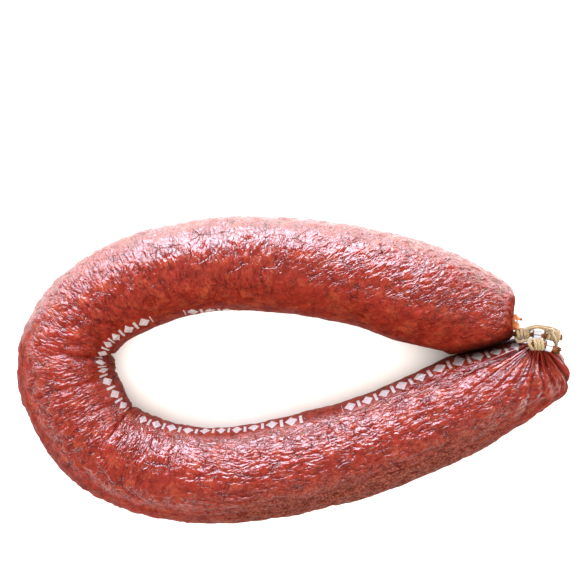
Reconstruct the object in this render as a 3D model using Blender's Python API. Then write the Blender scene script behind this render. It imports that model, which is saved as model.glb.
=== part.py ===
"""A cured salami bent into a ring and tied end to end, lying flat.

Pieces: the filled casing with its gathered ends, a metal clip on each neck, and the twine that
ties the two necks together. Sizes are in millimetres, and become metres in the objects.

Seen from above, the far arm runs along +Y and the near arm along -Y. The tight bend is at -X,
and the two ends meet at +X.
"""

import math

import bmesh
import bpy
from mathutils import Matrix, Vector

MM = 0.001
UP = Vector((0.0, 0.0, 1.0))
TURN = 2.0 * math.pi
SHARP = math.radians(60.0)  # edges that turn by more than this are shaded sharp

# --- Filled casing -----------------------------------------------------------------------------
CALIBRE = 43.0  # nominal diameter of the filled casing
SAG = 1.0  # how far each section settles, which leaves the flat underside it rests on
RING_STEP = 9.0  # spacing of the sections along the arms

# The middle of the sausage from its far end round the bend to its near end: x, y, and the girth
# there as a share of the calibre.
ROUTE = (
    (90.5, -11.0, 0.80),
    (78.0, -6.8, 0.95),
    (57.0, 0.0, 1.06),
    (31.0, 7.5, 1.03),
    (-2.0, 13.0, 1.01),
    (-39.0, 13.0, 0.98),
    (-71.0, 5.0, 0.99),
    (-96.0, -11.0, 0.97),
    (-104.0, -35.0, 1.01),
    (-91.0, -63.5, 1.00),
    (-68.0, -78.0, 1.00),
    (-33.0, -83.0, 0.99),
    (4.0, -77.0, 1.02),
    (39.0, -67.0, 1.01),
    (74.0, -51.8, 1.01),
    (94.0, -43.2, 0.89),
    (108.0, -36.5, 0.78),
)
ROUTE_STEPS = 24
THIN_HEIGHT = 0.95  # least height of the middle, which thinner ends keep, as a share of the radius

# Creases where the casing buckles inside the bend: distance along the middle, depth, half width.
CREASES = (
    (207.5, 3.2, 4.0),
    (228.8, 0.9, 2.5),
    (257.0, 1.5, 2.6),
)
CREASE_RINGS = (-2.2, -1.0, -0.45, 0.0, 0.45, 1.0, 2.2)  # where its sections lie, in half widths
CREASE_REACH = 1.5  # how quickly a crease dies away from the inside of the bend to the outside

# Where the arms press together they flatten against this line, seen from above.
CONTACT = ((70.4, -28.6), (101.0, -20.4))
CONTACT_GAP = 0.6

# --- Gathered ends -----------------------------------------------------------------------------
PLEATS = 16
PLEAT_UNEVEN = 0.3  # how far the pleats stray from even spacing, as a share of one pleat
PLEAT_DEPTH = 1.2
PLEAT_RISE = 6.0  # distance from the neck at which the pleats are deepest
PLEAT_FADE = 10.0  # distance over which they then flatten out
CAP_RINGS = 8
CAP_ROUND = 0.4  # how broadly an end comes in to its neck, as a share of the way there
CAP_DOWN = 0.25  # how far it comes in from below the neck's root
NECK_RADIUS = 1.1
NECK_STEPS = 2
NECK_ACROSS = Vector((0.0, 1.0, 0.0))  # both necks arch in a plane across this
TAIL_FOLD = 0.3  # depth of the folds in a cut tail, as a share of its radius

# Each end: how far it runs on along the arm before it turns in, as a share of the way to its
# neck; the middle of the neck, from where the pleats meet it to its cut tail; the point of the
# neck that the clip sits on; and how far the tail opens past it, against the neck.
FAR_END = {
    "full": 0.4,
    "neck": (
        (99.6, -18.0, 24.3),
        (103.0, -18.1, 24.9),
        (106.5, -18.3, 25.2),
        (109.9, -18.6, 25.4),
        (113.0, -18.9, 25.4),
        (116.5, -19.3, 25.3),
        (120.3, -19.6, 25.1),
    ),
    "clip": 3,
    "tail": 1.1,
}
NEAR_END = {
    "full": 0.75,
    "neck": (
        (104.9, -24.0, 30.2),
        (104.2, -23.2, 32.2),
        (105.6, -22.4, 33.9),
        (107.9, -22.2, 34.4),
        (110.5, -22.5, 34.6),
        (112.9, -23.1, 34.3),
        (115.4, -23.7, 34.0),
        (117.2, -24.8, 32.4),
    ),
    "clip": 5,
    "tail": 1.8,
}

# --- Clips -------------------------------------------------------------------------------------
GAP = 0.3  # clearance between a neck and what is wrapped round it
CLIP_WALL = 1.3
CLIP_LENGTH = 3.8
CLIP_EDGE = 0.4  # bevel of its edges
CLIP_SPREAD = 1.15  # how much wider than tall the crimped ring is
CLIP_STEPS = 18

# --- Twine -------------------------------------------------------------------------------------
TWINE = 1.45  # diameter
TWINE_ROUND = 2  # Blender's bevel resolution, which gives it eight sides
TWINE_PITCH = 1.8  # spacing of turns that lie side by side
TURN_POINTS = 11  # points of the twine in one turn
COIL_RADIUS = NECK_RADIUS + GAP + TWINE / 2
KNOT_RADIUS = COIL_RADIUS + 0.25
KNOT_START, KNOT_TURNS = 20.0, 3.5  # how far along its neck each winding starts, and its turns
FAR_START, FAR_TURNS = 7.3, -3.5
NEAR_START, NEAR_TURNS = 4.95, 2.5

# The middle of the strands between the windings.
BACK_STRAND = (
    (112.7, -15.8, 27.3),
    (110.4, -15.1, 28.2),
    (108.2, -15.2, 27.6),
)
OVER_STRAND = (
    (100.8, -21.2, 27.4),
    (101.9, -21.4, 30.0),
    (104.1, -20.6, 32.3),
)


def smooth_line(points, steps):
    """Points of a smooth curve through the given ones, with that many steps to a stretch."""
    points = [Vector(point) for point in points]
    first, last = 2 * points[0] - points[1], 2 * points[-1] - points[-2]
    ends = [first, *points, last]
    line = []
    for a, b, c, d in zip(ends, ends[1:], ends[2:], ends[3:]):
        for k in range(steps):
            t = k / steps
            cubic = 3 * (b - c) + d - a
            line.append(b + t / 2 * (c - a + t * (2 * a - 5 * b + 4 * c - d + t * cubic)))
    line.append(points[-1])
    return line


def distances(line):
    """How far along the line each of its points is."""
    run = [0.0]
    for a, b in zip(line, line[1:]):
        run.append(run[-1] + (b - a).length)
    return run


def place_on(run, distance):
    """Which stretch of a line that distance falls in, and how far along the stretch."""
    k = max(i for i in range(len(run) - 1) if run[i] <= distance)
    return k, (distance - run[k]) / (run[k + 1] - run[k])


def pleat_angles():
    """The angles of a section's corners: by turns the bottom of a pleat and its crest."""
    floors = [TURN * (k + PLEAT_UNEVEN * math.sin(2.4 * k)) / PLEATS for k in range(PLEATS)]
    floors.append(floors[0] + TURN)
    return [angle for a, b in zip(floors, floors[1:]) for angle in (a, (a + b) / 2)]


ANGLES = pleat_angles()


def section(centre, inward, upward, radii):
    """One section: a point at each of the corner angles, counted from the inside of the ring."""
    return [
        centre + (inward * math.cos(angle) + upward * math.sin(angle)) * radius
        for angle, radius in zip(ANGLES, radii)
    ]


def crease_depth(distance, angle):
    """How far the creases pull the casing in at this place."""
    around = (0.5 + 0.5 * math.cos(angle)) ** CREASE_REACH
    return sum(
        depth * around * math.exp(-(((distance - place) / width) ** 2))
        for place, depth, width in CREASES
    )


def section_places(length):
    """Where the sections of the arms and the bend lie: evenly spaced, and closer at a crease."""
    count = round(length / RING_STEP)
    even = [length * k / count for k in range(count + 1)]
    close = [place + width * share for place, _, width in CREASES for share in CREASE_RINGS]
    clear = [p for p in even if min(abs(p - c) for c in close) > RING_STEP / 3]
    return sorted(clear + close)


def arm_sections():
    """The sections of the arms and the bend, and the direction of the middle at each."""
    line = smooth_line(ROUTE, ROUTE_STEPS)
    run = distances([Vector((x, y, 0.0)) for x, y, _ in line])
    sections, ways = [], []
    for distance in section_places(run[-1]):
        k, share = place_on(run, distance)
        x, y, girth = line[k].lerp(line[k + 1], share)
        way = line[k + 1] - line[k]
        way = Vector((way.x, way.y, 0.0)).normalized()
        radius = girth * CALIBRE / 2
        centre = Vector((x, y, max(radius, THIN_HEIGHT * CALIBRE / 2) - SAG))
        radii = [radius - crease_depth(distance, angle) for angle in ANGLES]
        points = section(centre, UP.cross(way), UP, radii)
        sections.append([Vector((p.x, p.y, max(0.0, p.z))) for p in points])
        ways.append(way)
    return sections, ways


def neck_sections(end, inward, way):
    """The sections of a neck, from where the pleats meet it to its cut tail."""
    line = smooth_line(end["neck"], NECK_STEPS)
    last = len(line) - 1
    plain = end["clip"] * NECK_STEPS + 2  # the tail opens after this section
    upward = UP
    sections = []
    for k, centre in enumerate(line):
        ahead = (line[min(k + 1, last)] - line[max(k - 1, 0)]).normalized()
        turn = way.rotation_difference(ahead)
        inward, upward, way = turn @ inward, turn @ upward, ahead
        opened = max(0.0, (k - plain) / (last - plain))
        radius = NECK_RADIUS * (1 + (end["tail"] - 1) * opened)
        radii = [radius * (1 - TAIL_FOLD * opened * (j % 2)) for j in range(len(ANGLES))]
        sections.append(section(centre, inward, upward, radii))
    return sections


def cap_sections(end, edge, outward, root):
    """The sections between an arm's last one, edge, and the first one of its neck, root."""
    middle = sum(root, Vector()) / len(root)
    neck_way = (Vector(end["neck"][1]) - Vector(end["neck"][0])).normalized()
    meridians = []
    for angle, start, finish in zip(ANGLES, edge, root):
        drawn = 0.5 + 0.5 * math.cos(angle)  # 1 where the casing runs straight to the neck
        span = finish - start
        leave = outward.lerp(span.normalized(), drawn).normalized()
        arrive = (finish - middle).normalized().lerp(-neck_way, CAP_DOWN).normalized()
        arrive = arrive.lerp(-span.normalized(), drawn)
        first = start + leave * span.length * end["full"] * (1 - drawn / 2)
        second = finish + arrive * span.length * CAP_ROUND
        meridians.append((start, first, second, finish))
    sections = []
    for k in range(1, CAP_RINGS):
        t = k / CAP_RINGS
        weights = ((1 - t) ** 3, 3 * t * (1 - t) ** 2, 3 * t * t * (1 - t), t**3)
        sections.append([
            sum((point * weight for point, weight in zip(points, weights)), Vector())
            for points in meridians
        ])
    return sections


def pleat_depth(reach):
    """How deep the pleats are at this distance from where they meet the neck."""
    rise = min(1.0, reach / PLEAT_RISE)
    return PLEAT_DEPTH * rise * math.exp(-max(0.0, reach - PLEAT_RISE) / PLEAT_FADE)


def pleated(sections):
    """The sections, which start at a neck's root, with that end's pleats pressed in."""
    pressed = [sections[0]]
    reach = [0.0] * len(ANGLES)
    for before, here, after in zip(sections, sections[1:], sections[2:]):
        reach = [gone + (b - a).length for gone, a, b in zip(reach, before, here)]
        middle = sum(here, Vector()) / len(here)
        points = []
        for j, point in enumerate(here):
            around = here[(j + 1) % len(here)] - here[j - 1]
            normal = around.cross(after[j] - before[j]).normalized()
            if normal.dot(point - middle) < 0:
                normal.negate()
            points.append(point - normal * pleat_depth(reach[j]) * (1 - j % 2))
        pressed.append(points)
    return [*pressed, sections[-1]]


def kept_apart(sections):
    """The sections, flattened where the arms press together."""
    (x0, y0), (x1, y1) = CONTACT
    half = len(sections) // 2

    def clear(point, side):
        line = y0 + (y1 - y0) * (point.x - x0) / (x1 - x0) + side * CONTACT_GAP / 2
        past = point.x > 0 and (line - point.y) * side > 0
        return Vector((point.x, line, point.z)) if past else point

    return [
        [clear(point, 1 if k < half else -1) for point in points]
        for k, points in enumerate(sections)
    ]


def finished(name, data, material):
    """An object of that mesh or curve, with its material."""
    data.materials.append(material)
    piece = bpy.data.objects.new(name, data)
    bpy.context.scene.collection.objects.link(piece)
    return piece


def sausage(material):
    """The filled casing, from one cut tail round to the other."""
    arms, ways = arm_sections()
    caps, necks = [], []
    for end, edge, way in ((FAR_END, arms[0], -ways[0]), (NEAR_END, arms[-1], ways[-1])):
        inward = (edge[0] - sum(edge, Vector()) / len(edge)).normalized()
        neck = neck_sections(end, inward, way)
        caps.append(cap_sections(end, edge, way, neck[0]))
        necks.append(neck)
    skin = [necks[0][0], *caps[0][::-1], *arms, *caps[1], necks[1][0]]
    skin = pleated(skin)
    skin = pleated(skin[::-1])[::-1]
    sections = necks[0][:0:-1] + kept_apart(skin) + necks[1][1:]

    mesh = bmesh.new()
    loops = []
    for points in sections:
        corners = [mesh.verts.new(point * MM) for point in points]
        loops.append([mesh.edges.new(pair) for pair in zip(corners, corners[1:] + corners[:1])])
    for low, high in zip(loops, loops[1:]):
        bmesh.ops.bridge_loops(mesh, edges=low + high)
    for rim in (loops[0], loops[-1]):
        bmesh.ops.edgeloop_fill(mesh, edges=rim)
    bmesh.ops.recalc_face_normals(mesh, faces=mesh.faces)
    data = bpy.data.meshes.new("sausage")
    mesh.to_mesh(data)
    mesh.free()
    data.shade_smooth()
    data.set_sharp_from_angle(angle=SHARP)
    return finished("sausage", data, material)


def neck_frame(line, run, distance):
    """A point on a neck, and the directions across it there and along it."""
    k, share = place_on(run, distance)
    before, after = line[max(k - 1, 0)], line[min(k + 2, len(line) - 1)]
    way = (line[k + 1] - before).lerp(after - line[k], share).normalized()
    side = (NECK_ACROSS - way * way.dot(NECK_ACROSS)).normalized()
    return line[k].lerp(line[k + 1], share), side, way.cross(side), way


def clip(name, end, material):
    """A crimped metal ring on a neck."""
    line = smooth_line(end["neck"], NECK_STEPS)
    run = distances(line)
    centre, side, over, way = neck_frame(line, run, run[end["clip"] * NECK_STEPS])
    mesh = bmesh.new()
    rim = bmesh.ops.create_circle(mesh, segments=CLIP_STEPS, radius=(NECK_RADIUS + GAP) * MM)
    bmesh.ops.scale(mesh, vec=(CLIP_SPREAD, 1.0, 1.0), verts=rim["verts"])
    bmesh.ops.translate(mesh, vec=(0.0, 0.0, -CLIP_LENGTH / 2 * MM), verts=rim["verts"])
    drawn = bmesh.ops.extrude_edge_only(mesh, edges=mesh.edges[:])
    top = [part for part in drawn["geom"] if isinstance(part, bmesh.types.BMVert)]
    bmesh.ops.translate(mesh, vec=(0.0, 0.0, CLIP_LENGTH * MM), verts=top)
    bmesh.ops.recalc_face_normals(mesh, faces=mesh.faces)
    data = bpy.data.meshes.new(name)
    mesh.to_mesh(data)
    mesh.free()
    data.shade_smooth()
    piece = finished(name, data, material)
    piece.location = centre * MM
    piece.rotation_euler = Matrix((side, over, way)).transposed().to_euler()
    wall = piece.modifiers.new("wall", "SOLIDIFY")
    wall.thickness = CLIP_WALL * MM
    wall.offset = 1.0
    edge = piece.modifiers.new("edge", "BEVEL")
    edge.width = CLIP_EDGE * MM
    edge.limit_method = "ANGLE"
    edge.angle_limit = SHARP
    edge.harden_normals = True
    return piece


def winding(end, start, turns, begin, radius, along):
    """The middle of twine wound on a neck.

    It starts that distance along the neck, at the angle begin from the far side, and works
    towards the tail if along is 1 or towards the pleats if it is -1. Negative turns wind the
    other way round.
    """
    line = smooth_line(end["neck"], NECK_STEPS * 4)
    run = distances(line)
    count = round(abs(turns) * TURN_POINTS)
    points = []
    for k in range(count + 1):
        turned = turns * k / count
        distance = start + along * TWINE_PITCH * abs(turned)
        centre, side, over, _ = neck_frame(line, run, distance)
        angle = begin + TURN * turned
        points.append(centre + (side * math.cos(angle) + over * math.sin(angle)) * radius)
    return points


def twine(material):
    """One length of twine: round the far tail, back to the far neck, and over to the near one."""
    points = [
        *winding(FAR_END, KNOT_START, KNOT_TURNS, TURN / 2, KNOT_RADIUS, -1),
        *(Vector(point) for point in BACK_STRAND),
        *winding(FAR_END, FAR_START, FAR_TURNS, 0.0, COIL_RADIUS, -1),
        *(Vector(point) for point in OVER_STRAND),
        *winding(NEAR_END, NEAR_START, NEAR_TURNS, 0.0, COIL_RADIUS, 1),
    ]
    data = bpy.data.curves.new("twine", "CURVE")
    data.dimensions = "3D"
    data.bevel_depth = TWINE / 2 * MM
    data.bevel_resolution = TWINE_ROUND
    data.use_fill_caps = True
    spline = data.splines.new("POLY")
    spline.points.add(len(points) - 1)
    for spot, point in zip(spline.points, points):
        spot.co = (*(point * MM), 1.0)
        spot.radius = 1.0
    return finished("twine", data, material)


def plain_material(name, colour, roughness, metallic=0.0):
    """A material of one colour, given as linear red, green and blue."""
    made = bpy.data.materials.new(name)
    made.use_nodes = True
    shader = made.node_tree.nodes["Principled BSDF"]
    shader.inputs["Base Color"].default_value = (*colour, 1.0)
    shader.inputs["Roughness"].default_value = roughness
    shader.inputs["Metallic"].default_value = metallic
    return made


def centred(pieces):
    """Parents the pieces to an empty that stands the sausage over the origin."""
    spots = [vertex.co for vertex in pieces[0].data.vertices]
    low, high = ([pick(spot[k] for spot in spots) for k in range(3)] for pick in (min, max))
    middle = bpy.data.objects.new("ring", None)
    bpy.context.scene.collection.objects.link(middle)
    middle.location = (-(low[0] + high[0]) / 2, -(low[1] + high[1]) / 2, -low[2])
    for piece in pieces:
        piece.parent = middle


for leftover in list(bpy.data.objects):
    bpy.data.objects.remove(leftover)
metal = plain_material("crimped aluminium", (0.85, 0.86, 0.88), 0.3, 1.0)
centred([
    sausage(plain_material("filled casing", (0.42, 0.09, 0.07), 0.25)),
    clip("clip_far", FAR_END, metal),
    clip("clip_near", NEAR_END, metal),
    twine(plain_material("natural twine", (0.62, 0.49, 0.32), 0.9)),
])
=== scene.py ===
"""The looks of a cured salami bent into a ring and tied end to end.

The filled casing is a flat film rolled round the ring's middle line and gathered at its ends. The
clips and the twine are pieces of their own, and the torn strips of casing at the far end are joined
to it. Sizes are in millimetres, and become metres in the meshes.

Seen from above, the far arm runs along +Y and the near arm along -Y. The tight bend is at -X, and
the two ends meet at +X.
"""

import logging
import math
from dataclasses import dataclass
from enum import Enum
from typing import Any, Sequence

import bpy
import numpy as np
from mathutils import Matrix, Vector, noise


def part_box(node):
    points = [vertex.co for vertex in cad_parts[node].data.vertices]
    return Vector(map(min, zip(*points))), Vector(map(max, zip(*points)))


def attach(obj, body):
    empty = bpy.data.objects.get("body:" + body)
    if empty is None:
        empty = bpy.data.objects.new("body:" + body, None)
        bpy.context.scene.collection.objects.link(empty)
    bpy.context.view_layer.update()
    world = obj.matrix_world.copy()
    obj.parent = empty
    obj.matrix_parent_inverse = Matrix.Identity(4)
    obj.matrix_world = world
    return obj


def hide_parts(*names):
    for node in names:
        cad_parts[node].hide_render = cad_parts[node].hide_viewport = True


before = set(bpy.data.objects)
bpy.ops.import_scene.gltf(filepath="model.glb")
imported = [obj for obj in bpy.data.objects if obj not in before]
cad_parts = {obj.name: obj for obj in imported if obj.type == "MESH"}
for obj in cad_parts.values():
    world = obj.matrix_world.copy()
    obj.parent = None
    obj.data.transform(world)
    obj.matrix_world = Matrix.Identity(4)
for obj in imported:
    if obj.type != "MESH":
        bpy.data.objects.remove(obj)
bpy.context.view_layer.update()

LOG = logging.getLogger("salami")
MM = 0.001
TURN = 2.0 * math.pi
UP = Vector((0.0, 0.0, 1.0))
Array = np.ndarray
Tree = bpy.types.NodeTree
Socket = bpy.types.NodeSocket
Route = tuple[tuple[float, float, float], ...]


class Slot(Enum):
    """The record's material slots."""

    CASING = "casing"
    METAL = "clip_metal"
    TWINE = "twine"


class Lay(Enum):
    """Which way wrinkles run: their size along the sausage and round it, and their slant."""

    AROUND = (0.62, 2.2, 0.0)
    ALONG = (2.1, 0.7, 0.0)
    SLANT = (0.85, 1.45, -0.9)


# --- Small helpers -----------------------------------------------------------------------------
def linear(colour: str) -> tuple[float, float, float, float]:
    """Turns an sRGB hex colour to linear light.

    Args:
        colour: Six hex digits, such as "b04a3c".

    Returns:
        Red, green, blue and an alpha of one.
    """
    parts = [int(colour[k : k + 2], 16) / 255.0 for k in (0, 2, 4)]
    return (*(p / 12.92 if p <= 0.04045 else ((p + 0.055) / 1.055) ** 2.4 for p in parts), 1.0)


def add_node(tree: Tree, kind: str, inputs: dict[Any, Any], out: Any = 0, **settings: Any) -> Socket:
    """Adds a node to a tree.

    Args:
        tree: The tree to add it to.
        kind: The node's type, such as "ShaderNodeTexNoise".
        inputs: For each input's name or number, its value or the socket linked to it.
        out: The name or number of the output that is wanted.
        **settings: The node's own settings.

    Returns:
        That output of the new node.
    """
    node = tree.nodes.new(kind)
    for name, value in settings.items():
        setattr(node, name, value)
    for name, value in inputs.items():
        if isinstance(value, Socket):
            tree.links.new(value, node.inputs[name])
        else:
            node.inputs[name].default_value = value
    return node.outputs[out]


def smooth_step(low: float, high: float, value: Array) -> Array:
    """Rises smoothly from 0 at low to 1 at high.

    Args:
        low: Where the rise starts.
        high: Where the rise ends, which may be below low for a fall.
        value: The places to read it at.

    Returns:
        The height of the step at each place.
    """
    t = np.clip((value - low) / (high - low), 0.0, 1.0)
    return t * t * (3.0 - 2.0 * t)


def ripple(points: Array) -> Array:
    """Smooth noise from -1 to 1 at each point, with features about one unit across."""
    return np.array([noise.noise(p) for p in points.reshape(-1, 3).tolist()]).reshape(points.shape[:-1])


def smooth_line(points: Sequence[Sequence[float]], steps: int) -> Array:
    """Points of a smooth curve through the given ones.

    Args:
        points: The points that the curve passes through, with any number of coordinates.
        steps: How many steps it takes from one of them to the next.

    Returns:
        The curve's points, one to a row.
    """
    given = np.array(points, float)
    ends = np.vstack([2 * given[0] - given[1], given, 2 * given[-1] - given[-2]])
    line = []
    for a, b, c, d in zip(ends, ends[1:], ends[2:], ends[3:]):
        for t in np.arange(steps) / steps:
            cubic = 3 * (b - c) + d - a
            line.append(b + t / 2 * (c - a + t * (2 * a - 5 * b + 4 * c - d + t * cubic)))
    return np.array([*line, given[-1]])


def distances(line: Array) -> Array:
    """How far along a line each of its points is."""
    return np.concatenate([[0.0], np.cumsum(np.linalg.norm(np.diff(line, axis=0), axis=1))])


def unit(vectors: Array) -> Array:
    """The vectors, each with a length of one."""
    return vectors / np.maximum(np.linalg.norm(vectors, axis=-1, keepdims=True), 1e-9)


def across(line: Array) -> tuple[Array, Array]:
    """Two directions across a line at each of its points, which turn as little as they can.

    Args:
        line: The line's points.

    Returns:
        The two directions, square to each other and to the line.
    """
    ways = unit(np.gradient(line, axis=0))
    side = np.cross(ways[0], np.array([0.3, 0.1, 1.0]))
    sides = []
    for way in ways:
        side = unit(side - way * (side @ way))
        sides.append(side)
    return np.array(sides), np.cross(ways, np.array(sides))


def tube(line: Array, wide: Array, thick: Array, columns: int) -> Array:
    """The film of a round or flattened rod.

    Args:
        line: The points of its middle.
        wide: Half its width at each of them.
        thick: Half its thickness at each of them.
        columns: How many points go round it.

    Returns:
        The film's places, by row, column and coordinate.
    """
    side, over = across(line)
    angles = np.linspace(0.0, TURN, columns + 1)
    aside = np.cos(angles)[:, None] * (side * wide[:, None])[:, None, :]
    return line[:, None, :] + aside + np.sin(angles)[:, None] * (over * thick[:, None])[:, None, :]


# --- Building meshes ---------------------------------------------------------------------------
def clear_selection() -> None:
    """Leaves nothing selected, so that an operator acts only on what is selected next."""
    if bpy.context.object is not None and bpy.context.object.mode != "OBJECT":
        bpy.ops.object.mode_set(mode="OBJECT")
    bpy.ops.object.select_all(action="DESELECT")


def pick(piece: bpy.types.Object) -> None:
    """Selects one object alone and makes it the active one.

    Args:
        piece: The object.
    """
    clear_selection()
    piece.select_set(True)
    bpy.context.view_layer.objects.active = piece


def add_film(name: str, spots: Array) -> bpy.types.Object:
    """Lays a flat film as a grid, and moves each of its points to its place on the real piece.

    Args:
        name: The piece's name.
        spots: The places in millimetres, by row, column and coordinate.

    Returns:
        The film's object, with no thickness and its edges still open.
    """
    clear_selection()
    rows, columns = spots.shape[0] - 1, spots.shape[1] - 1
    bpy.ops.mesh.primitive_grid_add(x_subdivisions=rows, y_subdivisions=columns, size=1.0)
    film = bpy.context.object
    film.name = film.data.name = name
    flat = np.zeros(len(film.data.vertices) * 3, np.float32)
    film.data.vertices.foreach_get("co", flat)
    flat = flat.reshape(-1, 3)
    row = np.rint((flat[:, 0] + 0.5) * rows).astype(int)
    column = np.rint((flat[:, 1] + 0.5) * columns).astype(int)
    film.data.vertices.foreach_set("co", (spots[row, column] * MM).astype(np.float32).ravel())
    add_values(film, "film_row", row.astype(np.float32))
    add_values(film, "film_column", column.astype(np.float32))
    return film


def add_values(piece: bpy.types.Object, name: str, values: Array) -> None:
    """Keeps a number, or a vector, for each point of a piece.

    Args:
        piece: The mesh's object.
        name: The attribute's name.
        values: The values, one or three for each point.
    """
    if values.ndim == 1:
        attribute = piece.data.attributes.new(name, "FLOAT", "POINT")
        attribute.data.foreach_set("value", values.astype(np.float32))
    else:
        attribute = piece.data.attributes.new(name, "FLOAT_VECTOR", "POINT")
        attribute.data.foreach_set("vector", values.astype(np.float32).ravel())


def add_tube(name: str, spots: Array, values: dict[str, Array]) -> bpy.types.Object:
    """Makes a closed piece from a rolled film.

    Args:
        name: The piece's name.
        spots: The film's places in millimetres, in the ring's own frame.
        values: The attributes to keep on it, each by row and column.

    Returns:
        The piece's object.
    """
    piece = add_film(name, spots + HOME)
    row, column = film_places(piece)
    for key, given in values.items():
        add_values(piece, key, given[row, column])
    return close_film(piece)


def join(name: str, pieces: list[bpy.types.Object]) -> bpy.types.Object:
    """Makes one piece of several.

    Args:
        name: The new piece's name.
        pieces: The pieces, the first of which takes in the others.

    Returns:
        The joined piece's object.
    """
    pick(pieces[0])
    for piece in pieces[1:]:
        piece.select_set(True)
    bpy.ops.object.join()
    joined = bpy.context.object
    joined.name = joined.data.name = name
    return joined


# --- The ring ----------------------------------------------------------------------------------
@dataclass(frozen=True)
class End:
    """One gathered end of the sausage.

    Attributes:
        full: How far it runs on along the arm before it turns in, as a share of the way.
        direct: How straight the film nearest to the neck goes to it, from 0 to 1.
        neck: The middle of its neck, from where the pleats meet it to its cut tail.
        clip: The point of the neck that the clip sits on.
        tail: How far the tail opens past the clip, against the neck.
        fan: The point that the pleats spread from.
        fan_axis: The direction that they spread round.
        pleats: How many pleats the casing is gathered in.
        pleat_depth: How deep they are.
        pleat_fade: The distance over which they flatten out.
    """

    full: float
    direct: float
    neck: Route
    clip: int
    tail: float
    fan: tuple[float, float, float]
    fan_axis: tuple[float, float, float]
    pleats: int
    pleat_depth: float
    pleat_fade: float

    def frame(self, past_clip: float) -> tuple[Array, Array, Array, Array]:
        """Reads the neck some way past the middle of its clip, or before it if negative.

        Args:
            past_clip: That distance.

        Returns:
            The neck's middle there, its two directions across, and its direction.
        """
        line = smooth_line(self.neck, 8)
        run = distances(line)
        place = run[self.clip * 8] + past_clip
        spot, before, after = (
            np.array([np.interp(place + step, run, line[:, k]) for k in range(3)])
            for step in (0.0, -0.4, 0.4)
        )
        way = unit(after - before)
        side = unit(np.array([0.0, 1.0, 0.0]) - way * way[1])
        return spot, side, np.cross(way, side), way


FAR_END = End(
    full=0.4,
    direct=0.0,
    neck=(
        (99.6, -18.0, 24.3),
        (103.0, -18.1, 24.9),
        (106.5, -18.3, 25.2),
        (109.9, -18.6, 25.4),
        (113.0, -18.9, 25.4),
        (116.5, -19.3, 25.3),
        (121.4, -19.7, 25.0),
    ),
    clip=3,
    tail=1.4,
    fan=(101.5, -17.6, 25.5),
    fan_axis=(1.0, 0.0, 0.0),
    pleats=19,
    pleat_depth=0.9,
    pleat_fade=6.0,
)
NEAR_END = End(
    full=0.75,
    direct=1.0,
    neck=(
        (106.3, -23.0, 30.6),
        (104.7, -22.8, 32.2),
        (105.6, -22.4, 33.9),
        (107.9, -22.2, 34.4),
        (110.5, -22.5, 34.6),
        (112.9, -23.1, 34.3),
        (115.4, -23.9, 34.0),
        (117.6, -25.4, 32.4),
    ),
    clip=5,
    tail=2.0,
    fan=(109.0, -21.3, 31.0),
    fan_axis=(0.0, 0.0, 1.0),
    pleats=23,
    pleat_depth=2.4,
    pleat_fade=20.0,
)


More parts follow.
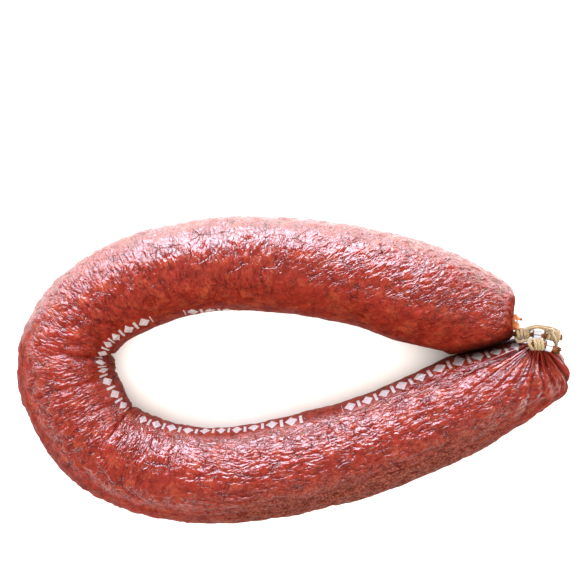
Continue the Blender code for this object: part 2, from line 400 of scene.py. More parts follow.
@dataclass(frozen=True)
class Ring:
    """The middle line of the sausage, from its far end round the bend to its near end.

    Attributes:
        calibre: The nominal diameter of the filled casing.
        sag: How far each section settles, which leaves the flat underside it rests on.
        route: The middle's points: x, y, and the girth there as a share of the calibre.
        steps: How many steps the line takes from one of those points to the next.
        thin_height: The least height of the middle, as a share of the nominal radius.
        contact: Two points of the line, seen from above, that the arms press together along.
        contact_gap: The gap that is left between them.
        cling: How closely the casing near that line lies against it, from 0 to 1.
    """

    calibre: float = 43.0
    sag: float = 1.0
    route: Route = (
        (90.5, -11.0, 0.80),
        (78.0, -6.8, 0.95),
        (57.0, 0.0, 1.06),
        (31.0, 7.5, 1.03),
        (-2.0, 13.0, 1.01),
        (-39.0, 13.0, 0.98),
        (-71.0, 5.0, 0.99),
        (-96.0, -11.0, 0.97),
        (-104.0, -35.0, 1.01),
        (-91.0, -63.5, 1.00),
        (-68.0, -78.0, 1.00),
        (-33.0, -83.0, 0.99),
        (4.0, -77.0, 1.02),
        (39.0, -67.0, 1.01),
        (74.0, -51.8, 1.01),
        (94.0, -43.2, 0.89),
        (108.0, -36.5, 0.78),
    )
    steps: int = 24
    thin_height: float = 0.95
    contact: tuple[tuple[float, float], tuple[float, float]] = ((70.4, -28.6), (101.0, -20.4))
    contact_gap: float = 0.6
    cling: float = 0.9

    @property
    def radius(self) -> float:
        """The nominal radius of the filled casing."""
        return self.calibre / 2.0

    def line(self) -> tuple[Array, Array]:
        """The middle's points, and how far along it each of them is."""
        line = smooth_line(self.route, self.steps)
        return line, distances(line[:, :2])

    def length(self) -> float:
        """The length of the middle."""
        return float(self.line()[1][-1])

    def at(self, places: Array) -> tuple[Array, Array, Array, Array]:
        """Reads the middle at some distances along it.

        Args:
            places: The distances.

        Returns:
            The radius, the middle's centre, its direction, and the direction into the ring.
        """
        line, run = self.line()
        x, y, girth = (np.interp(places, run, line[:, k]) for k in range(3))
        slopes = np.gradient(line[:, :2], run, axis=0)
        way = unit(np.stack([np.interp(places, run, slopes[:, k]) for k in range(2)], axis=1))
        way = np.column_stack([way, np.zeros(len(places))])
        radius = girth * self.radius
        height = np.maximum(radius, self.thin_height * self.radius) - self.sag
        inward = np.column_stack([-way[:, 1], way[:, 0], np.zeros(len(places))])
        return radius, np.column_stack([x, y, height]), way, inward

    def settled(self, spots: Array, far_side: Array) -> Array:
        """Keeps points above the ground, and the two arms apart where they press together.

        Args:
            spots: The points.
            far_side: True for a point of the far arm, and false for one of the near arm.

        Returns:
            The points, moved to where they may be.
        """
        side = np.where(far_side, 1.0, -1.0)
        apart = self.apart(spots, side)
        level = np.abs(spots[..., 2] - self.radius)
        near = smooth_step(60.0, 74.0, spots[..., 0]) * smooth_step(14.0, 4.0, level)
        drawn = self.cling * near * smooth_step(3.0, 1.0, apart) * apart
        moved = np.where(spots[..., 0] > 0.0, np.maximum(apart - drawn, 0.0), apart)
        y = spots[..., 1] + side * (moved - apart)
        return np.stack([spots[..., 0], y, np.maximum(spots[..., 2], 0.0)], axis=-1)

    def apart(self, spots: Array, side: Array) -> Array:
        """How far points lie from the face that their arm is pressed flat to, seen from above.

        Args:
            spots: The points.
            side: One for the far arm and minus one for the near arm.

        Returns:
            The distance, negative for a point past that face.
        """
        (x0, y0), (x1, y1) = self.contact
        line = y0 + (y1 - y0) * (spots[..., 0] - x0) / (x1 - x0) + side * self.contact_gap / 2
        return (spots[..., 1] - line) * side

    def home(self) -> Array:
        """Places the ring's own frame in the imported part's, from the sausage's box.

        Returns:
            How far the frame is moved, in millimetres.
        """
        radius, centre, _, inward = self.at(np.linspace(0.0, self.length(), 500))
        outer = centre - inward * radius[:, None]
        low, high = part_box("sausage")
        x = low.x / MM - outer[:, 0].min()
        y = (low.y + high.y) / 2 / MM - (outer[:, 1].min() + outer[:, 1].max()) / 2
        return np.array([x, y, 0.0])


RING = Ring()
HOME = RING.home()


@dataclass
class Casing:
    """The filled casing: one film rolled round the ring and gathered into a neck at each end.

    Attributes:
        columns: The film's divisions round the sausage.
        arm_step: The spacing of its rows along the arms.
        pleat_step: Their spacing where the near end's pleats run on along the arm.
        pleat_run: The length of that stretch.
        cap_rows: Its rows over each rounded end.
        neck_steps: Its rows to each stretch of a neck.
        crowding: How much closer the columns lie on top than underneath.
        neck_radius: The radius of a gathered neck.
        cap_round: How broadly an end comes in to its neck, as a share of the way there.
        cap_down: How far it comes in from below the neck's root.
        bunching: How deep the folds of a neck are, as a share of its radius.
        neck_folds: How many of them there are.
        pleat_rise: The distance from the neck at which the pleats are deepest.
        creases: Where the casing buckles inside the bend: the distance along the middle, the
            depth, the half width, and how much further along the crease lies on top.
        crease_reach: How quickly a crease dies away from the inside of the bend to the outside.
        bend_folds: Where the small folds across the bend start and end, their spacing and depth.
        bare_run: How far past the neck's root the film has meat under it again.
        swells: The size and the height of each of the filling's two broad swellings.
        wander: The size of the bends that wrinkles wander in, and how far they stray.
        lump: The size of the pieces of meat and fat that stand out under the casing.
        lump_height: How far they stand out.
        wrinkle: The spacing of the casing's wrinkles.
        wrinkle_height: How high they are.
        calm_inside: How much of the relief is missing on the inside of the ring.
        gather_rows: The rows past a neck's root in which its pleats become full.
        settle_rows: The rows in which the film starts to rest on the floor and the other arm.
        relief_rows: The rows in which the relief becomes full.
        grey_rise: Where along the middle the near arm's grey side starts and is full.
        grey_fall: Where it is gone again, and where that starts.
        crease_shape: How much of a crease is a round hollow, and how much a sharp fold.
        crease_sharp: How steep that fold is.
        fold_sway: How far the small folds across the bend sway, and how far each strays.
        fold_sharp: How steep they are.
        pleat_drift: How unevenly the pleats are spaced round a neck, broadly and finely.
        pleat_twist: How far their phase shifts for each millimetre away from the neck, in radians.
        pleat_lengths: How unlike their lengths are, broadly and finely.
        pleat_uneven: How unlike their depths are.
        pleat_crest: How round the tops of the pleats are: lower is rounder, with sharper valleys.
        lump_edge: The noise's value where a lump has risen in full.
        groove_edge: The noise's value where the groove between two lumps ends.
        ridge_edge: The noise's value where a wrinkle's ridge has sunk away.
        ridge_patch: The size of the patches that have more or fewer wrinkles.
        ridge_least: How much of the wrinkles is left between those patches.
        slanting: Where along the middle the far arm's slanting wrinkles start to go and are gone.
        lengthwise: Where the near arm's lengthwise wrinkles start and are full.
        inside_end: How far along the middle the inside of the ring has such wrinkles too.
        dull_most: How dull the near arm's grey side is at most, and the inside of the ring.
        dull_inside: Where along the middle the inside's dullness is gone, and where that starts.
        worn: How dull the bend is all over, and the near arm's last stretch.
        worn_rise: Where along the middle the bend's dullness starts and is full.
        worn_fall: Where it is gone again, and where that starts.
        worn_end: Where the near arm's starts and is full.
        shade_rise: The x where the painted shade between the arms starts, and where it is full.
        shade_fall: The x where it is gone again, and where that starts.
        shade_near: How far from the face that its arm is pressed to the film has no painted shade, and full
            shade.
        shade_low: How far above the nominal radius it has no painted shade, and full shade.
    """

    columns: int = 150
    arm_step: float = 0.96
    pleat_step: float = 0.62
    pleat_run: float = 28.0
    cap_rows: int = 40
    neck_steps: int = 2
    crowding: float = 0.45
    neck_radius: float = 1.1
    cap_round: float = 0.4
    cap_down: float = 0.25
    bunching: float = 0.22
    neck_folds: int = 8
    pleat_rise: float = 5.0
    creases: tuple[tuple[float, float, float, float], ...] = (
        (207.5, 3.2, 3.4, 5.5),
        (228.8, 0.9, 2.2, 1.0),
        (257.0, 1.5, 2.6, 4.0),
    )
    crease_reach: float = 1.5
    bend_folds: tuple[float, float, float, float] = (196.0, 300.0, 5.2, 0.5)
    bare_run: float = 2.5
    swells: tuple[tuple[float, float], tuple[float, float]] = ((17.0, 0.5), (8.0, 0.3))
    wander: tuple[float, float] = (5.0, 1.6)
    lump: float = 4.2
    lump_height: float = 0.6
    wrinkle: float = 3.4
    wrinkle_height: float = 0.2
    calm_inside: float = 0.5
    gather_rows: float = 5.0
    settle_rows: float = 6.0
    relief_rows: float = 20.0
    grey_rise: tuple[float, float] = (275.0, 345.0)
    grey_fall: tuple[float, float] = (480.0, 415.0)
    crease_shape: tuple[float, float] = (0.55, 0.45)
    crease_sharp: float = 2.2
    fold_sway: tuple[float, float] = (1.6, 1.2)
    fold_sharp: float = 1.6
    pleat_drift: tuple[float, float] = (0.3, 0.22)
    pleat_twist: float = 0.03
    pleat_lengths: tuple[float, float] = (0.35, 0.25)
    pleat_uneven: float = 0.25
    pleat_crest: float = 0.8
    lump_edge: float = 0.45
    groove_edge: float = 0.09
    ridge_edge: float = 0.3
    ridge_patch: float = 14.0
    ridge_least: float = 0.25
    slanting: tuple[float, float] = (60.0, 120.0)
    lengthwise: tuple[float, float] = (270.0, 330.0)
    inside_end: float = 200.0
    dull_most: tuple[float, float] = (0.97, 0.95)
    dull_inside: tuple[float, float] = (225.0, 195.0)
    worn: tuple[float, float] = (0.25, 0.15)
    worn_rise: tuple[float, float] = (140.0, 180.0)
    worn_fall: tuple[float, float] = (260.0, 220.0)
    worn_end: tuple[float, float] = (380.0, 430.0)
    shade_rise: tuple[float, float] = (55.0, 80.0)
    shade_fall: tuple[float, float] = (112.0, 100.0)
    shade_near: tuple[float, float] = (6.0, 0.5)
    shade_low: tuple[float, float] = (24.0, 14.0)

    def angles(self) -> Array:
        """Spaces the columns round the sausage.

        Returns:
            Their angles, counted from the inside of the ring, with the seam underneath. Their
            cosine is 1 on the inside and -1 on the outside.
        """
        even = np.linspace(-TURN / 4, TURN * 3 / 4, 2000)
        share = np.cumsum(1.0 + self.crowding * np.sin(even))
        share = (share - share[0]) / (share[-1] - share[0])
        return np.interp(np.linspace(0.0, 1.0, self.columns + 1), share, even)

    def section(self, centre: Array, inward: Array, upward: Array, radii: Array) -> Array:
        """Makes one section, or several.

        Args:
            centre: The section's centre.
            inward: The direction of the angle zero.
            upward: The direction a quarter turn on from it.
            radii: The radius at every column's angle.

        Returns:
            The points round the centre, one for each column.
        """
        angles = self.angles()
        around = np.cos(angles)[:, None] * inward[..., None, :]
        around = around + np.sin(angles)[:, None] * upward[..., None, :]
        return centre[..., None, :] + around * radii[..., None]

    def crease_depth(self, places: Array) -> Array:
        """How far the creases pull the casing in.

        Args:
            places: The distance along the middle of each row.

        Returns:
            The depth, by row and column.
        """
        angles = self.angles()[None, :]
        depth = np.zeros((len(places), angles.shape[1]))
        rounded, sharp = self.crease_shape
        for place, deep, width, shift in self.creases:
            line = place + shift * np.clip(np.sin(angles), 0.0, 1.0)
            apart = np.abs(places[:, None] - line) / width
            around = (0.5 + 0.5 * np.cos(angles)) ** self.crease_reach
            hollow = rounded * np.exp(-(apart**2)) + sharp * np.exp(-self.crease_sharp * apart)
            depth += deep * around * hollow
        start, finish, spacing, deep = self.bend_folds
        swayed, strayed = self.fold_sway
        inner = smooth_step(-0.75, 0.35, np.cos(angles))
        # The factors inside the sines are arbitrary: they only keep the folds from being alike.
        for number, place in enumerate(np.arange(start, finish, spacing)):
            sway = swayed * np.sin(angles * 1.7 + number * 2.1) + strayed * math.sin(number * 4.3)
            apart = np.abs(places[:, None] - place - sway)
            patch = 0.5 + 0.5 * np.sin(angles * 2.3 + number * 1.9)
            depth += deep * inner * patch * np.exp(-self.fold_sharp * apart)
        return depth

    def arm(self) -> tuple[Array, Array, Array]:
        """The film along the arms and the bend.

        Returns:
            Its points, the distance along the middle of each row, and the middle's direction.
        """
        dense = RING.length() - self.pleat_run
        plain = np.linspace(0.0, dense, round(dense / self.arm_step), endpoint=False)
        fine = np.linspace(dense, RING.length(), round(self.pleat_run / self.pleat_step) + 1)
        places = np.concatenate([plain, fine])
        radius, centre, way, inward = RING.at(places)
        radii = radius[:, None] - self.crease_depth(places)
        upward = np.broadcast_to(np.array(UP), inward.shape)
        return self.section(centre, inward, upward, radii), places, way

    def neck(self, end: End, inward: Array, way: Array) -> Array:
        """The film of a neck, from where the pleats meet it to its cut tail.

        Args:
            end: The end that the neck is on.
            inward: The direction into the ring where the arm ends.
            way: The direction that the arm ends in.

        Returns:
            The film's points, by row and column.
        """
        line = smooth_line(end.neck, self.neck_steps)
        last = len(line) - 1
        plain = end.clip * self.neck_steps + 2
        aside, upward, ahead = Vector(inward), UP, Vector(way)
        folds = 0.5 + 0.5 * np.cos(self.angles() * self.neck_folds + np.sin(self.angles() * 3))
        rings = []
        for k, centre in enumerate(line):
            onward = Vector(line[min(k + 1, last)] - line[max(k - 1, 0)]).normalized()
            turn = ahead.rotation_difference(onward)
            aside, upward, ahead = turn @ aside, turn @ upward, onward
            opened = max(0.0, (k - plain) / (last - plain))
            radius = self.neck_radius * (1.0 + (end.tail - 1.0) * opened)
            radii = radius * (1.0 - self.bunching * (1.0 + opened) * folds * min(1.0, k / 3))
            rings.append(self.section(centre, np.array(aside), np.array(upward), radii))
        return np.array(rings)

    def cap(self, end: End, edge: Array, outward: Array, root: Array) -> Array:
        """The film over a rounded end, between an arm's last section and its neck's first.

        Args:
            end: The end.
            edge: The points of the arm's last section.
            outward: The direction that the arm ends in.
            root: The points of the neck's first section.

        Returns:
            The film's points, by row and column, without those two sections.
        """
        middle = root.mean(axis=0)
        neck_way = unit(np.array(end.neck[1]) - np.array(end.neck[0]))
        span = root - edge
        reach = np.linalg.norm(span, axis=1, keepdims=True)
        near = end.direct * smooth_step(0.9, 0.35, reach / reach.max())
        drawn = np.maximum((0.5 + 0.5 * np.cos(self.angles()))[:, None], near)
        leave = unit(outward * (1.0 - drawn) + unit(span) * drawn)
        arrive = unit(unit(root - middle) * (1.0 - self.cap_down) - neck_way * self.cap_down)
        arrive = arrive * (1.0 - drawn) - unit(span) * drawn
        first = edge + leave * reach * end.full * (1.0 - drawn / 2.0)
        second = root + arrive * reach * self.cap_round
        t = np.linspace(0.0, 1.0, self.cap_rows + 1)[1:-1, None, None]
        curve = (1 - t) ** 3 * edge + 3 * t * (1 - t) ** 2 * first
        return curve + 3 * t * t * (1 - t) * second + t**3 * root

    def normals(self, film: Array) -> Array:
        """The outward directions of the film.

        Args:
            film: The film's points.

        Returns:
            The direction at each of them.
        """
        along = np.gradient(film, axis=0)
        around = np.empty_like(film)
        around[:, 1:-1] = film[:, 2:] - film[:, :-2]
        around[:, 0] = around[:, -1] = film[:, 1] - film[:, -2]
        return unit(np.cross(around, along))

    def fan(self, end: End, film: Array) -> tuple[Array, Array]:
        """Where points lie in the fan of an end's pleats.

        Args:
            end: The end.
            film: The points.

        Returns:
            Their distance from the middle of the fan, and their angle round it.
        """
        away = film - np.array(end.fan)
        axis = np.array(end.fan_axis)
        side = np.array([0.0, 1.0, 0.0])
        return np.linalg.norm(away, axis=-1), np.arctan2(away @ side, away @ np.cross(side, axis))

    def pleats(self, end: End, film: Array) -> tuple[Array, Array]:
        """The pleats of an end.

        Args:
            end: The end.
            film: The film's points.

        Returns:
            How far each point is pressed in, and how strongly it is pleated, from 0 to 1.
        """
        reach, turned = self.fan(end, film)
        # The numbers inside the sines are arbitrary: they only keep the pleats from being alike.
        broadly, finely = self.pleat_drift
        drift = broadly * np.sin(turned * 2.0 + 0.7) + finely * np.sin(turned * 5.0 + 2.0)
        order = turned * end.pleats + TURN * drift + self.pleat_twist * reach
        broadly, finely = self.pleat_lengths
        length = 1.0 + broadly * np.sin(turned * 7.0 + 1.0) + finely * np.sin(turned * 13.0)
        fade = np.exp(-np.maximum(0.0, reach - self.pleat_rise) / (end.pleat_fade * length))
        strong = np.minimum(1.0, reach / self.pleat_rise) * fade
        crest = np.abs(np.cos(order / 2.0)) ** self.pleat_crest
        uneven = 1.0 - self.pleat_uneven + self.pleat_uneven * np.sin(turned * 3.0 + 3.9)
        return end.pleat_depth * strong * uneven * (1.0 - crest), strong

    def relief(self, film: Array, places: Array) -> tuple[Array, Array]:
        """The lumps and wrinkles of the surface.

        Args:
            film: The film's points before them.
            places: The distance along the middle of each row.

        Returns:
            How far each point stands out, and how deep it lies in a groove for painted shade, from 0 to 1.
        """
        angles = np.broadcast_to(self.angles()[None, :], film.shape[:2])
        rolled = self.rolled(places, angles)
        (broad, broad_height), (small, small_height) = self.swells
        swell = broad_height * ripple(film / broad) + small_height * ripple(film / small + 40.0)
        bends, stray = self.wander
        warp = np.stack([ripple(film / bends + k * 31.0) for k in range(3)], axis=-1)
        warped = rolled + stray * warp
        wrinkles, lumps, groove = (np.zeros(film.shape[:2]) for _ in range(3))
        masks = self.folds(places, angles)
        for seed, (lay, mask) in enumerate(zip(Lay, masks)):
            length, width, slope = lay.value
            leant = warped + np.array([slope, 0.0, 0.0]) * warped[..., 1:2]
            size = np.array([length, width, width])
            apart = np.abs(ripple(leant / (self.lump * size) + 5.0 * seed))
            lumps += mask * smooth_step(0.0, self.lump_edge, apart)
            groove += mask * smooth_step(self.groove_edge, 0.0, apart)
            wrinkles += mask * self.ridges(leant, self.wrinkle * size, 9.0 + 5.0 * seed)
        calm = 1.0 - self.calm_inside * smooth_step(0.4, 0.95, np.cos(angles))
        out = self.lump_height * lumps + self.wrinkle_height * wrinkles
        return swell + out * calm, groove * calm

    def ridges(self, rolled: Array, size: Array, seed: float) -> Array:
        """Thin ridges in patches.

        Args:
            rolled: The film's own coordinates.
            size: How long, and how far apart, the ridges are.
            seed: A number that sets them apart from other ridges.

        Returns:
            Their height at each point, from 0 to 1.
        """
        value = ripple(rolled / size + seed)
        sparse = smooth_step(-0.25, 0.25, ripple(rolled / self.ridge_patch + seed * 3.0))
        share = self.ridge_least + (1.0 - self.ridge_least) * sparse
        return (1.0 - smooth_step(0.0, self.ridge_edge, np.abs(value))) * share

    def rolled(self, places: Array, angles: Array) -> Array:
        """Coordinates that follow the film: along it, and round a straight sausage."""
        along = np.broadcast_to(places[:, None], angles.shape)
        return np.stack([along, RING.radius * np.cos(angles), RING.radius * np.sin(angles)], axis=-1)

    def folds(self, places: Array, angles: Array) -> tuple[Array, Array, Array]:
        """How strongly the casing is wrinkled in each lay.

        Args:
            places: The distance along the middle of each row.
            angles: The angle of each point.

        Returns:
            The strength of the wrinkles round it, along it and aslant, from 0 to 1.
        """
        run = np.broadcast_to(places[:, None], angles.shape)
        around = smooth_step(*self.slanting, run) * smooth_step(*self.lengthwise[::-1], run)
        along = smooth_step(*self.lengthwise, run)
        slant = smooth_step(*self.slanting[::-1], run)
        inside = smooth_step(0.35, 1.0, np.cos(angles)) * (run < self.inside_end)
        return around * (1.0 - inside), np.maximum(along, inside), slant * (1.0 - inside)

    def dryness(self, places: Array, angles: Array, out: Array) -> tuple[Array, Array]:
        """How dull and how grey the film is, from 0 where it shines on red meat to 1.

        Args:
            places: The distance along the middle of each row.
            angles: The angle of each point.
            out: The outward direction at each point.

        Returns:
            The dullness, and the greyness, which only the near arm's outer side has.
        """
        run = np.broadcast_to(places[:, None], angles.shape)
        outer = smooth_step(*self.grey_rise, run) * smooth_step(0.1, -0.75, np.cos(angles))
        outer = outer * smooth_step(*self.grey_fall, run)
        lower = smooth_step(0.96, 0.68, out[..., 2]) * smooth_step(0.55, 0.15, out[..., 1])
        under = smooth_step(0.1, -0.3, out[..., 2])
        inner = smooth_step(0.1, 0.75, np.cos(angles)) * smooth_step(*self.dull_inside, run)
        inner = np.maximum(inner, smooth_step(0.8, 0.94, np.cos(angles)))
        at_bend, at_end = self.worn
        worn = at_bend * smooth_step(*self.worn_rise, run) * smooth_step(*self.worn_fall, run)
        worn = worn + at_end * smooth_step(*self.worn_end, run)
        most_outer, most_inner = self.dull_most
        return np.maximum.reduce([most_outer * outer, lower, under, most_inner * inner, worn]), outer

    def painted_shade(self, film: Array, far_side: Array) -> Array:
        """How much painted shade the film gets between the arms, where they press together.

        Args:
            film: The film's points.
            far_side: True for the rows of the far arm.

        Returns:
            The painted shade at each point, from 0 to 1.
        """
        x, _, z = np.moveaxis(film, -1, 0)
        beside = RING.apart(film, np.where(far_side, 1.0, -1.0))
        stretch = smooth_step(*self.shade_rise, x) * smooth_step(*self.shade_fall, x)
        low = smooth_step(*self.shade_low, z - RING.radius)
        return smooth_step(*self.shade_near, beside) * stretch * low

    def plain_film(self) -> tuple[Array, Array, tuple[int, int]]:
        """Lays the film over the whole sausage, before its pleats and relief.

        Returns:
            Its points, the distance along the middle of each row, and the rows of the two necks'
            roots.
        """
        arms, places, ways = self.arm()
        _, _, _, inward = RING.at(places[[0, -1]])
        sides = []
        for end, edge, way, inside in (
            (FAR_END, arms[0], -ways[0], inward[0]),
            (NEAR_END, arms[-1], ways[-1], inward[1]),
        ):
            neck = self.neck(end, inside, way)
            sides.append((self.cap(end, edge, way, neck[0]), neck))
        (far_cap, far_neck), (near_cap, near_neck) = sides
        film = np.concatenate([far_neck[::-1], far_cap[::-1], arms, near_cap, near_neck])
        before = len(far_neck) + len(far_cap)
        after = len(near_neck) + len(near_cap)
        quarter = TURN / 4 * RING.radius
        run = np.concatenate([
            np.linspace(-quarter, 0.0, before, endpoint=False),
            places,
            places[-1] + np.linspace(quarter, 0.0, after, endpoint=False)[::-1],
        ])
        return film, run, (len(far_neck) - 1, len(film) - len(near_neck))

    def past_roots(self, row: Array, roots: tuple[int, int], rows: float) -> Array:
        """Rises from 0 at the necks' roots to 1 that many rows past them, away from the necks."""
        return smooth_step(0.0, rows, row - roots[0]) * smooth_step(0.0, rows, roots[1] - row)

    def build(self) -> bpy.types.Object:
        """Makes the casing.

        Returns:
            The casing's object, closed and shaded smooth.
        """
        film, run, roots = self.plain_film()
        out = self.normals(film)
        row = np.arange(len(film))[:, None]
        far_side = row < len(film) // 2
        pressed, strong = (
            np.where(far_side, at_far, at_near)
            for at_far, at_near in zip(self.pleats(FAR_END, film), self.pleats(NEAR_END, film))
        )
        turned = np.where(far_side, self.fan(FAR_END, film)[1], self.fan(NEAR_END, film)[1])
        gathered = self.past_roots(row, roots, self.gather_rows)
        relief, groove = self.relief(film, run)
        free = self.past_roots(row, roots, self.relief_rows)
        free = free * smooth_step(0.3, 5.0, film[..., 2]) * (1.0 - 0.5 * strong)
        film = film + out * (relief * free - pressed * gathered)[..., None]
        held = self.past_roots(row, roots, self.settle_rows)
        film = film + (RING.settled(film, far_side) - film) * held[..., None]
        low, high = film.reshape(-1, 3).min(axis=0), film.reshape(-1, 3).max(axis=0)
        LOG.info("film %s rows, %s columns, %.1f x %.1f mm", *film.shape[:2], *(high - low)[:2])

        bare = smooth_step(roots[0] + self.bare_run, roots[0] - 1.0, row)
        bare = np.maximum(bare, smooth_step(roots[1] - self.bare_run, roots[1] + 1.0, row))
        values = {
            # How much painted shade the furrows, grooves and pleat valleys get.
            "furrow_shade": groove * free + pressed * gathered,
            "spread": np.stack([np.cos(turned), np.sin(turned), strong * gathered], axis=-1),
            "bare": np.broadcast_to(bare, film.shape[:2]),
            # Painted shade between the arms, where they press together.
            "painted_shade": self.painted_shade(film, far_side),
        }
        casing = add_film("casing", film + HOME)
        self.mark(casing, run, out, values)
        return close_film(casing)

    def mark(self, casing: bpy.types.Object, run: Array, out: Array, values: dict[str, Array]) -> None:
        """Keeps on the casing what its finish follows.

        Args:
            casing: The casing's object, as add_film made it.
            run: The distance along the middle of each row.
            out: The outward direction at each point.
            values: More attributes, each by row and column.
        """
        angles = np.broadcast_to(self.angles()[None, :], (len(run), self.columns + 1))
        dry, grey = self.dryness(run, angles, out)
        # The cut tails are dull and get painted shade for the dark inside of the cut.
        for cut_tail in (slice(None, 2), slice(-2, None)):
            dry[cut_tail] = 1.0
            values["painted_shade"][cut_tail] = 0.6
        values = values | {
            "rolled": self.rolled(run, angles),
            "folds": np.stack(self.folds(run, angles), axis=-1),
            "dry": dry,
            "grey": grey,
            "band": PrintedBand().coordinates(run, angles),
        }
        row, column = film_places(casing)
        for name, given in values.items():
            add_values(casing, name, given[row, column])


@dataclass(frozen=True)
class Shreds:
    """Torn strips of casing that stand loose at the far end, curled and dried at their tips.

    Attributes:
        strips: For each strip, its points from where it hangs on to its tip.
        wide: Half the width of a strip where it hangs on.
        tip: Half its width at its tip.
        thick: Half the thickness of the film, folded on itself.
        crumple: How far it is crumpled.
    """

    strips: tuple[Route, ...] = (
        ((96.6, -10.6, 22.5), (99.3, -10.6, 26.0), (101.4, -11.0, 27.3), (103.2, -11.8, 26.8)),
        ((97.2, -12.6, 22.5), (99.8, -13.4, 25.5), (101.2, -15.2, 26.8), (101.9, -17.3, 26.6)),
        ((97.0, -14.5, 21.5), (100.0, -15.5, 23.6), (101.0, -13.8, 25.4), (100.6, -9.6, 26.4)),
    )
    wide: float = 1.5
    tip: float = 0.5
    thick: float = 0.16
    crumple: float = 0.7

    def build(self) -> list[bpy.types.Object]:
        """Makes the strips.

        Returns:
            Their objects, one for each strip.
        """
        made = []
        for number, points in enumerate(self.strips):
            line = smooth_line(points, 10)
            share = np.linspace(0.0, 1.0, len(line))
            wide = self.wide + (self.tip - self.wide) * share
            spots = tube(line, wide, np.full(len(line), self.thick), 14)
            ripples = np.stack([ripple(spots / 1.6 + 9.0 * number + 20.0 * k) for k in range(3)], axis=-1)
            spots = spots + self.crumple * ripples * smooth_step(0.0, 0.3, share)[:, None, None]
            dried = np.broadcast_to(smooth_step(0.55, 0.95, share)[:, None], spots.shape[:2])
            values = {"rolled": spots, "bare": 1.0 - dried, "grey": dried, "dry": dried}
            made.append(add_tube(f"shred_{number}", spots, values))
        return made


def film_places(film: bpy.types.Object) -> tuple[Array, Array]:
    """Reads where a film's points lie in its grid.

    Args:
        film: A film that add_film made and close_film hasn't closed.

    Returns:
        The row and the column of each point.
    """
    found = []
    for name in ("film_row", "film_column"):
        values = np.zeros(len(film.data.vertices), np.float32)
        film.data.attributes[name].data.foreach_get("value", values)
        found.append(np.rint(values).astype(int))
    return found[0], found[1]


def close_film(film: bpy.types.Object) -> bpy.types.Object:
    """Joins a rolled film along its seam, closes its two ends and turns its faces outward.

    Args:
        film: A film that add_film made.

    Returns:
        The same object, closed and shaded smooth.
    """
    for name in ("film_row", "film_column"):
        film.data.attributes.remove(film.data.attributes[name])
    pick(film)
    bpy.ops.object.mode_set(mode="EDIT")
    bpy.ops.mesh.select_all(action="SELECT")
    bpy.ops.mesh.remove_doubles(threshold=0.002 * MM)
    bpy.ops.mesh.select_all(action="SELECT")
    bpy.ops.mesh.fill_holes(sides=0)
    bpy.ops.mesh.select_all(action="SELECT")
    bpy.ops.mesh.normals_make_consistent(inside=False)
    bpy.ops.object.mode_set(mode="OBJECT")
    bpy.ops.object.shade_smooth()
    return film


@dataclass(frozen=True)
class PrintedBand:
    """The line of plain white marks printed along the inside of the casing.

    Attributes:
        groups: Where each run of marks starts and ends along the middle.
        route: The line's middle: the distance along the sausage, and degrees up from its inside.
    """

    groups: tuple[tuple[float, float], ...] = (
        (57.0, 148.0),
        (165.0, 256.0),
        (267.0, 360.0),
        (378.0, 468.0),
    )
    route: tuple[tuple[float, float], ...] = (
        (57.0, -25.0),
        (116.0, 0.0),
        (148.0, 23.0),
        (165.0, 32.0),
        (206.0, 33.0),
        (256.0, 23.0),
        (297.0, 17.0),
        (317.0, 10.0),
        (360.0, 22.0),
        (410.0, 21.0),
        (468.0, 26.0),
    )

    def coordinates(self, run: Array, angles: Array) -> Array:
        """Coordinates for the marks.

        Args:
            run: The distance along the middle of each row.
            angles: The angle of each point, in radians from the inside of the ring.

        Returns:
            For each point, how far it is along its group, how far up from the line's middle, and
            how far inside the group's ends, all in millimetres.
        """
        line = smooth_line(self.route, 12)
        middle = np.radians(np.interp(run, line[:, 0], line[:, 1]))[:, None]
        up = (angles - middle) * RING.radius
        starts = np.array([start for start, _ in self.groups])
        group = np.clip(np.searchsorted(starts, run, side="right") - 1, 0, len(starts) - 1)
        start, finish = np.array(self.groups)[group].T
        along = np.broadcast_to((run - start)[:, None], up.shape)
        inside = np.broadcast_to(np.minimum(run - start, finish - run)[:, None], up.shape)
        return np.stack([along, up, inside], axis=-1)


@dataclass(frozen=True)
class Coil:
    """Turns of twine round a neck.

    Attributes:
        end: The end whose neck they are wound on.
        span: Where they start and end, past the middle of that neck's clip.
        turns: How many there are, negative if they are wound the other way.
        begin: The angle they start at, in turns.
        radius: How far the middle of the twine lies from the neck's.
    """

    end: End
    span: tuple[float, float]
    turns: float
    begin: float
    radius: float

    def points(self, each_turn: int) -> Array:
        """The middle of the twine.

        Args:
            each_turn: How many points each turn has.

        Returns:
            Its points.
        """
        shares = np.linspace(0.0, 1.0, round(abs(self.turns) * each_turn) + 1)
        spots = []
        for share in shares:
            start, finish = self.span
            slack = 0.12 * math.sin(share * 17.0 + self.radius)
            spot, side, over, _ = self.end.frame(start + (finish - start) * share + slack)
            angle = TURN * (self.begin + self.turns * share)
            reach = self.radius + 0.1 * math.sin(share * 29.0 + self.begin)
            spots.append(spot + (side * math.cos(angle) + over * math.sin(angle)) * reach)
        return np.array(spots)


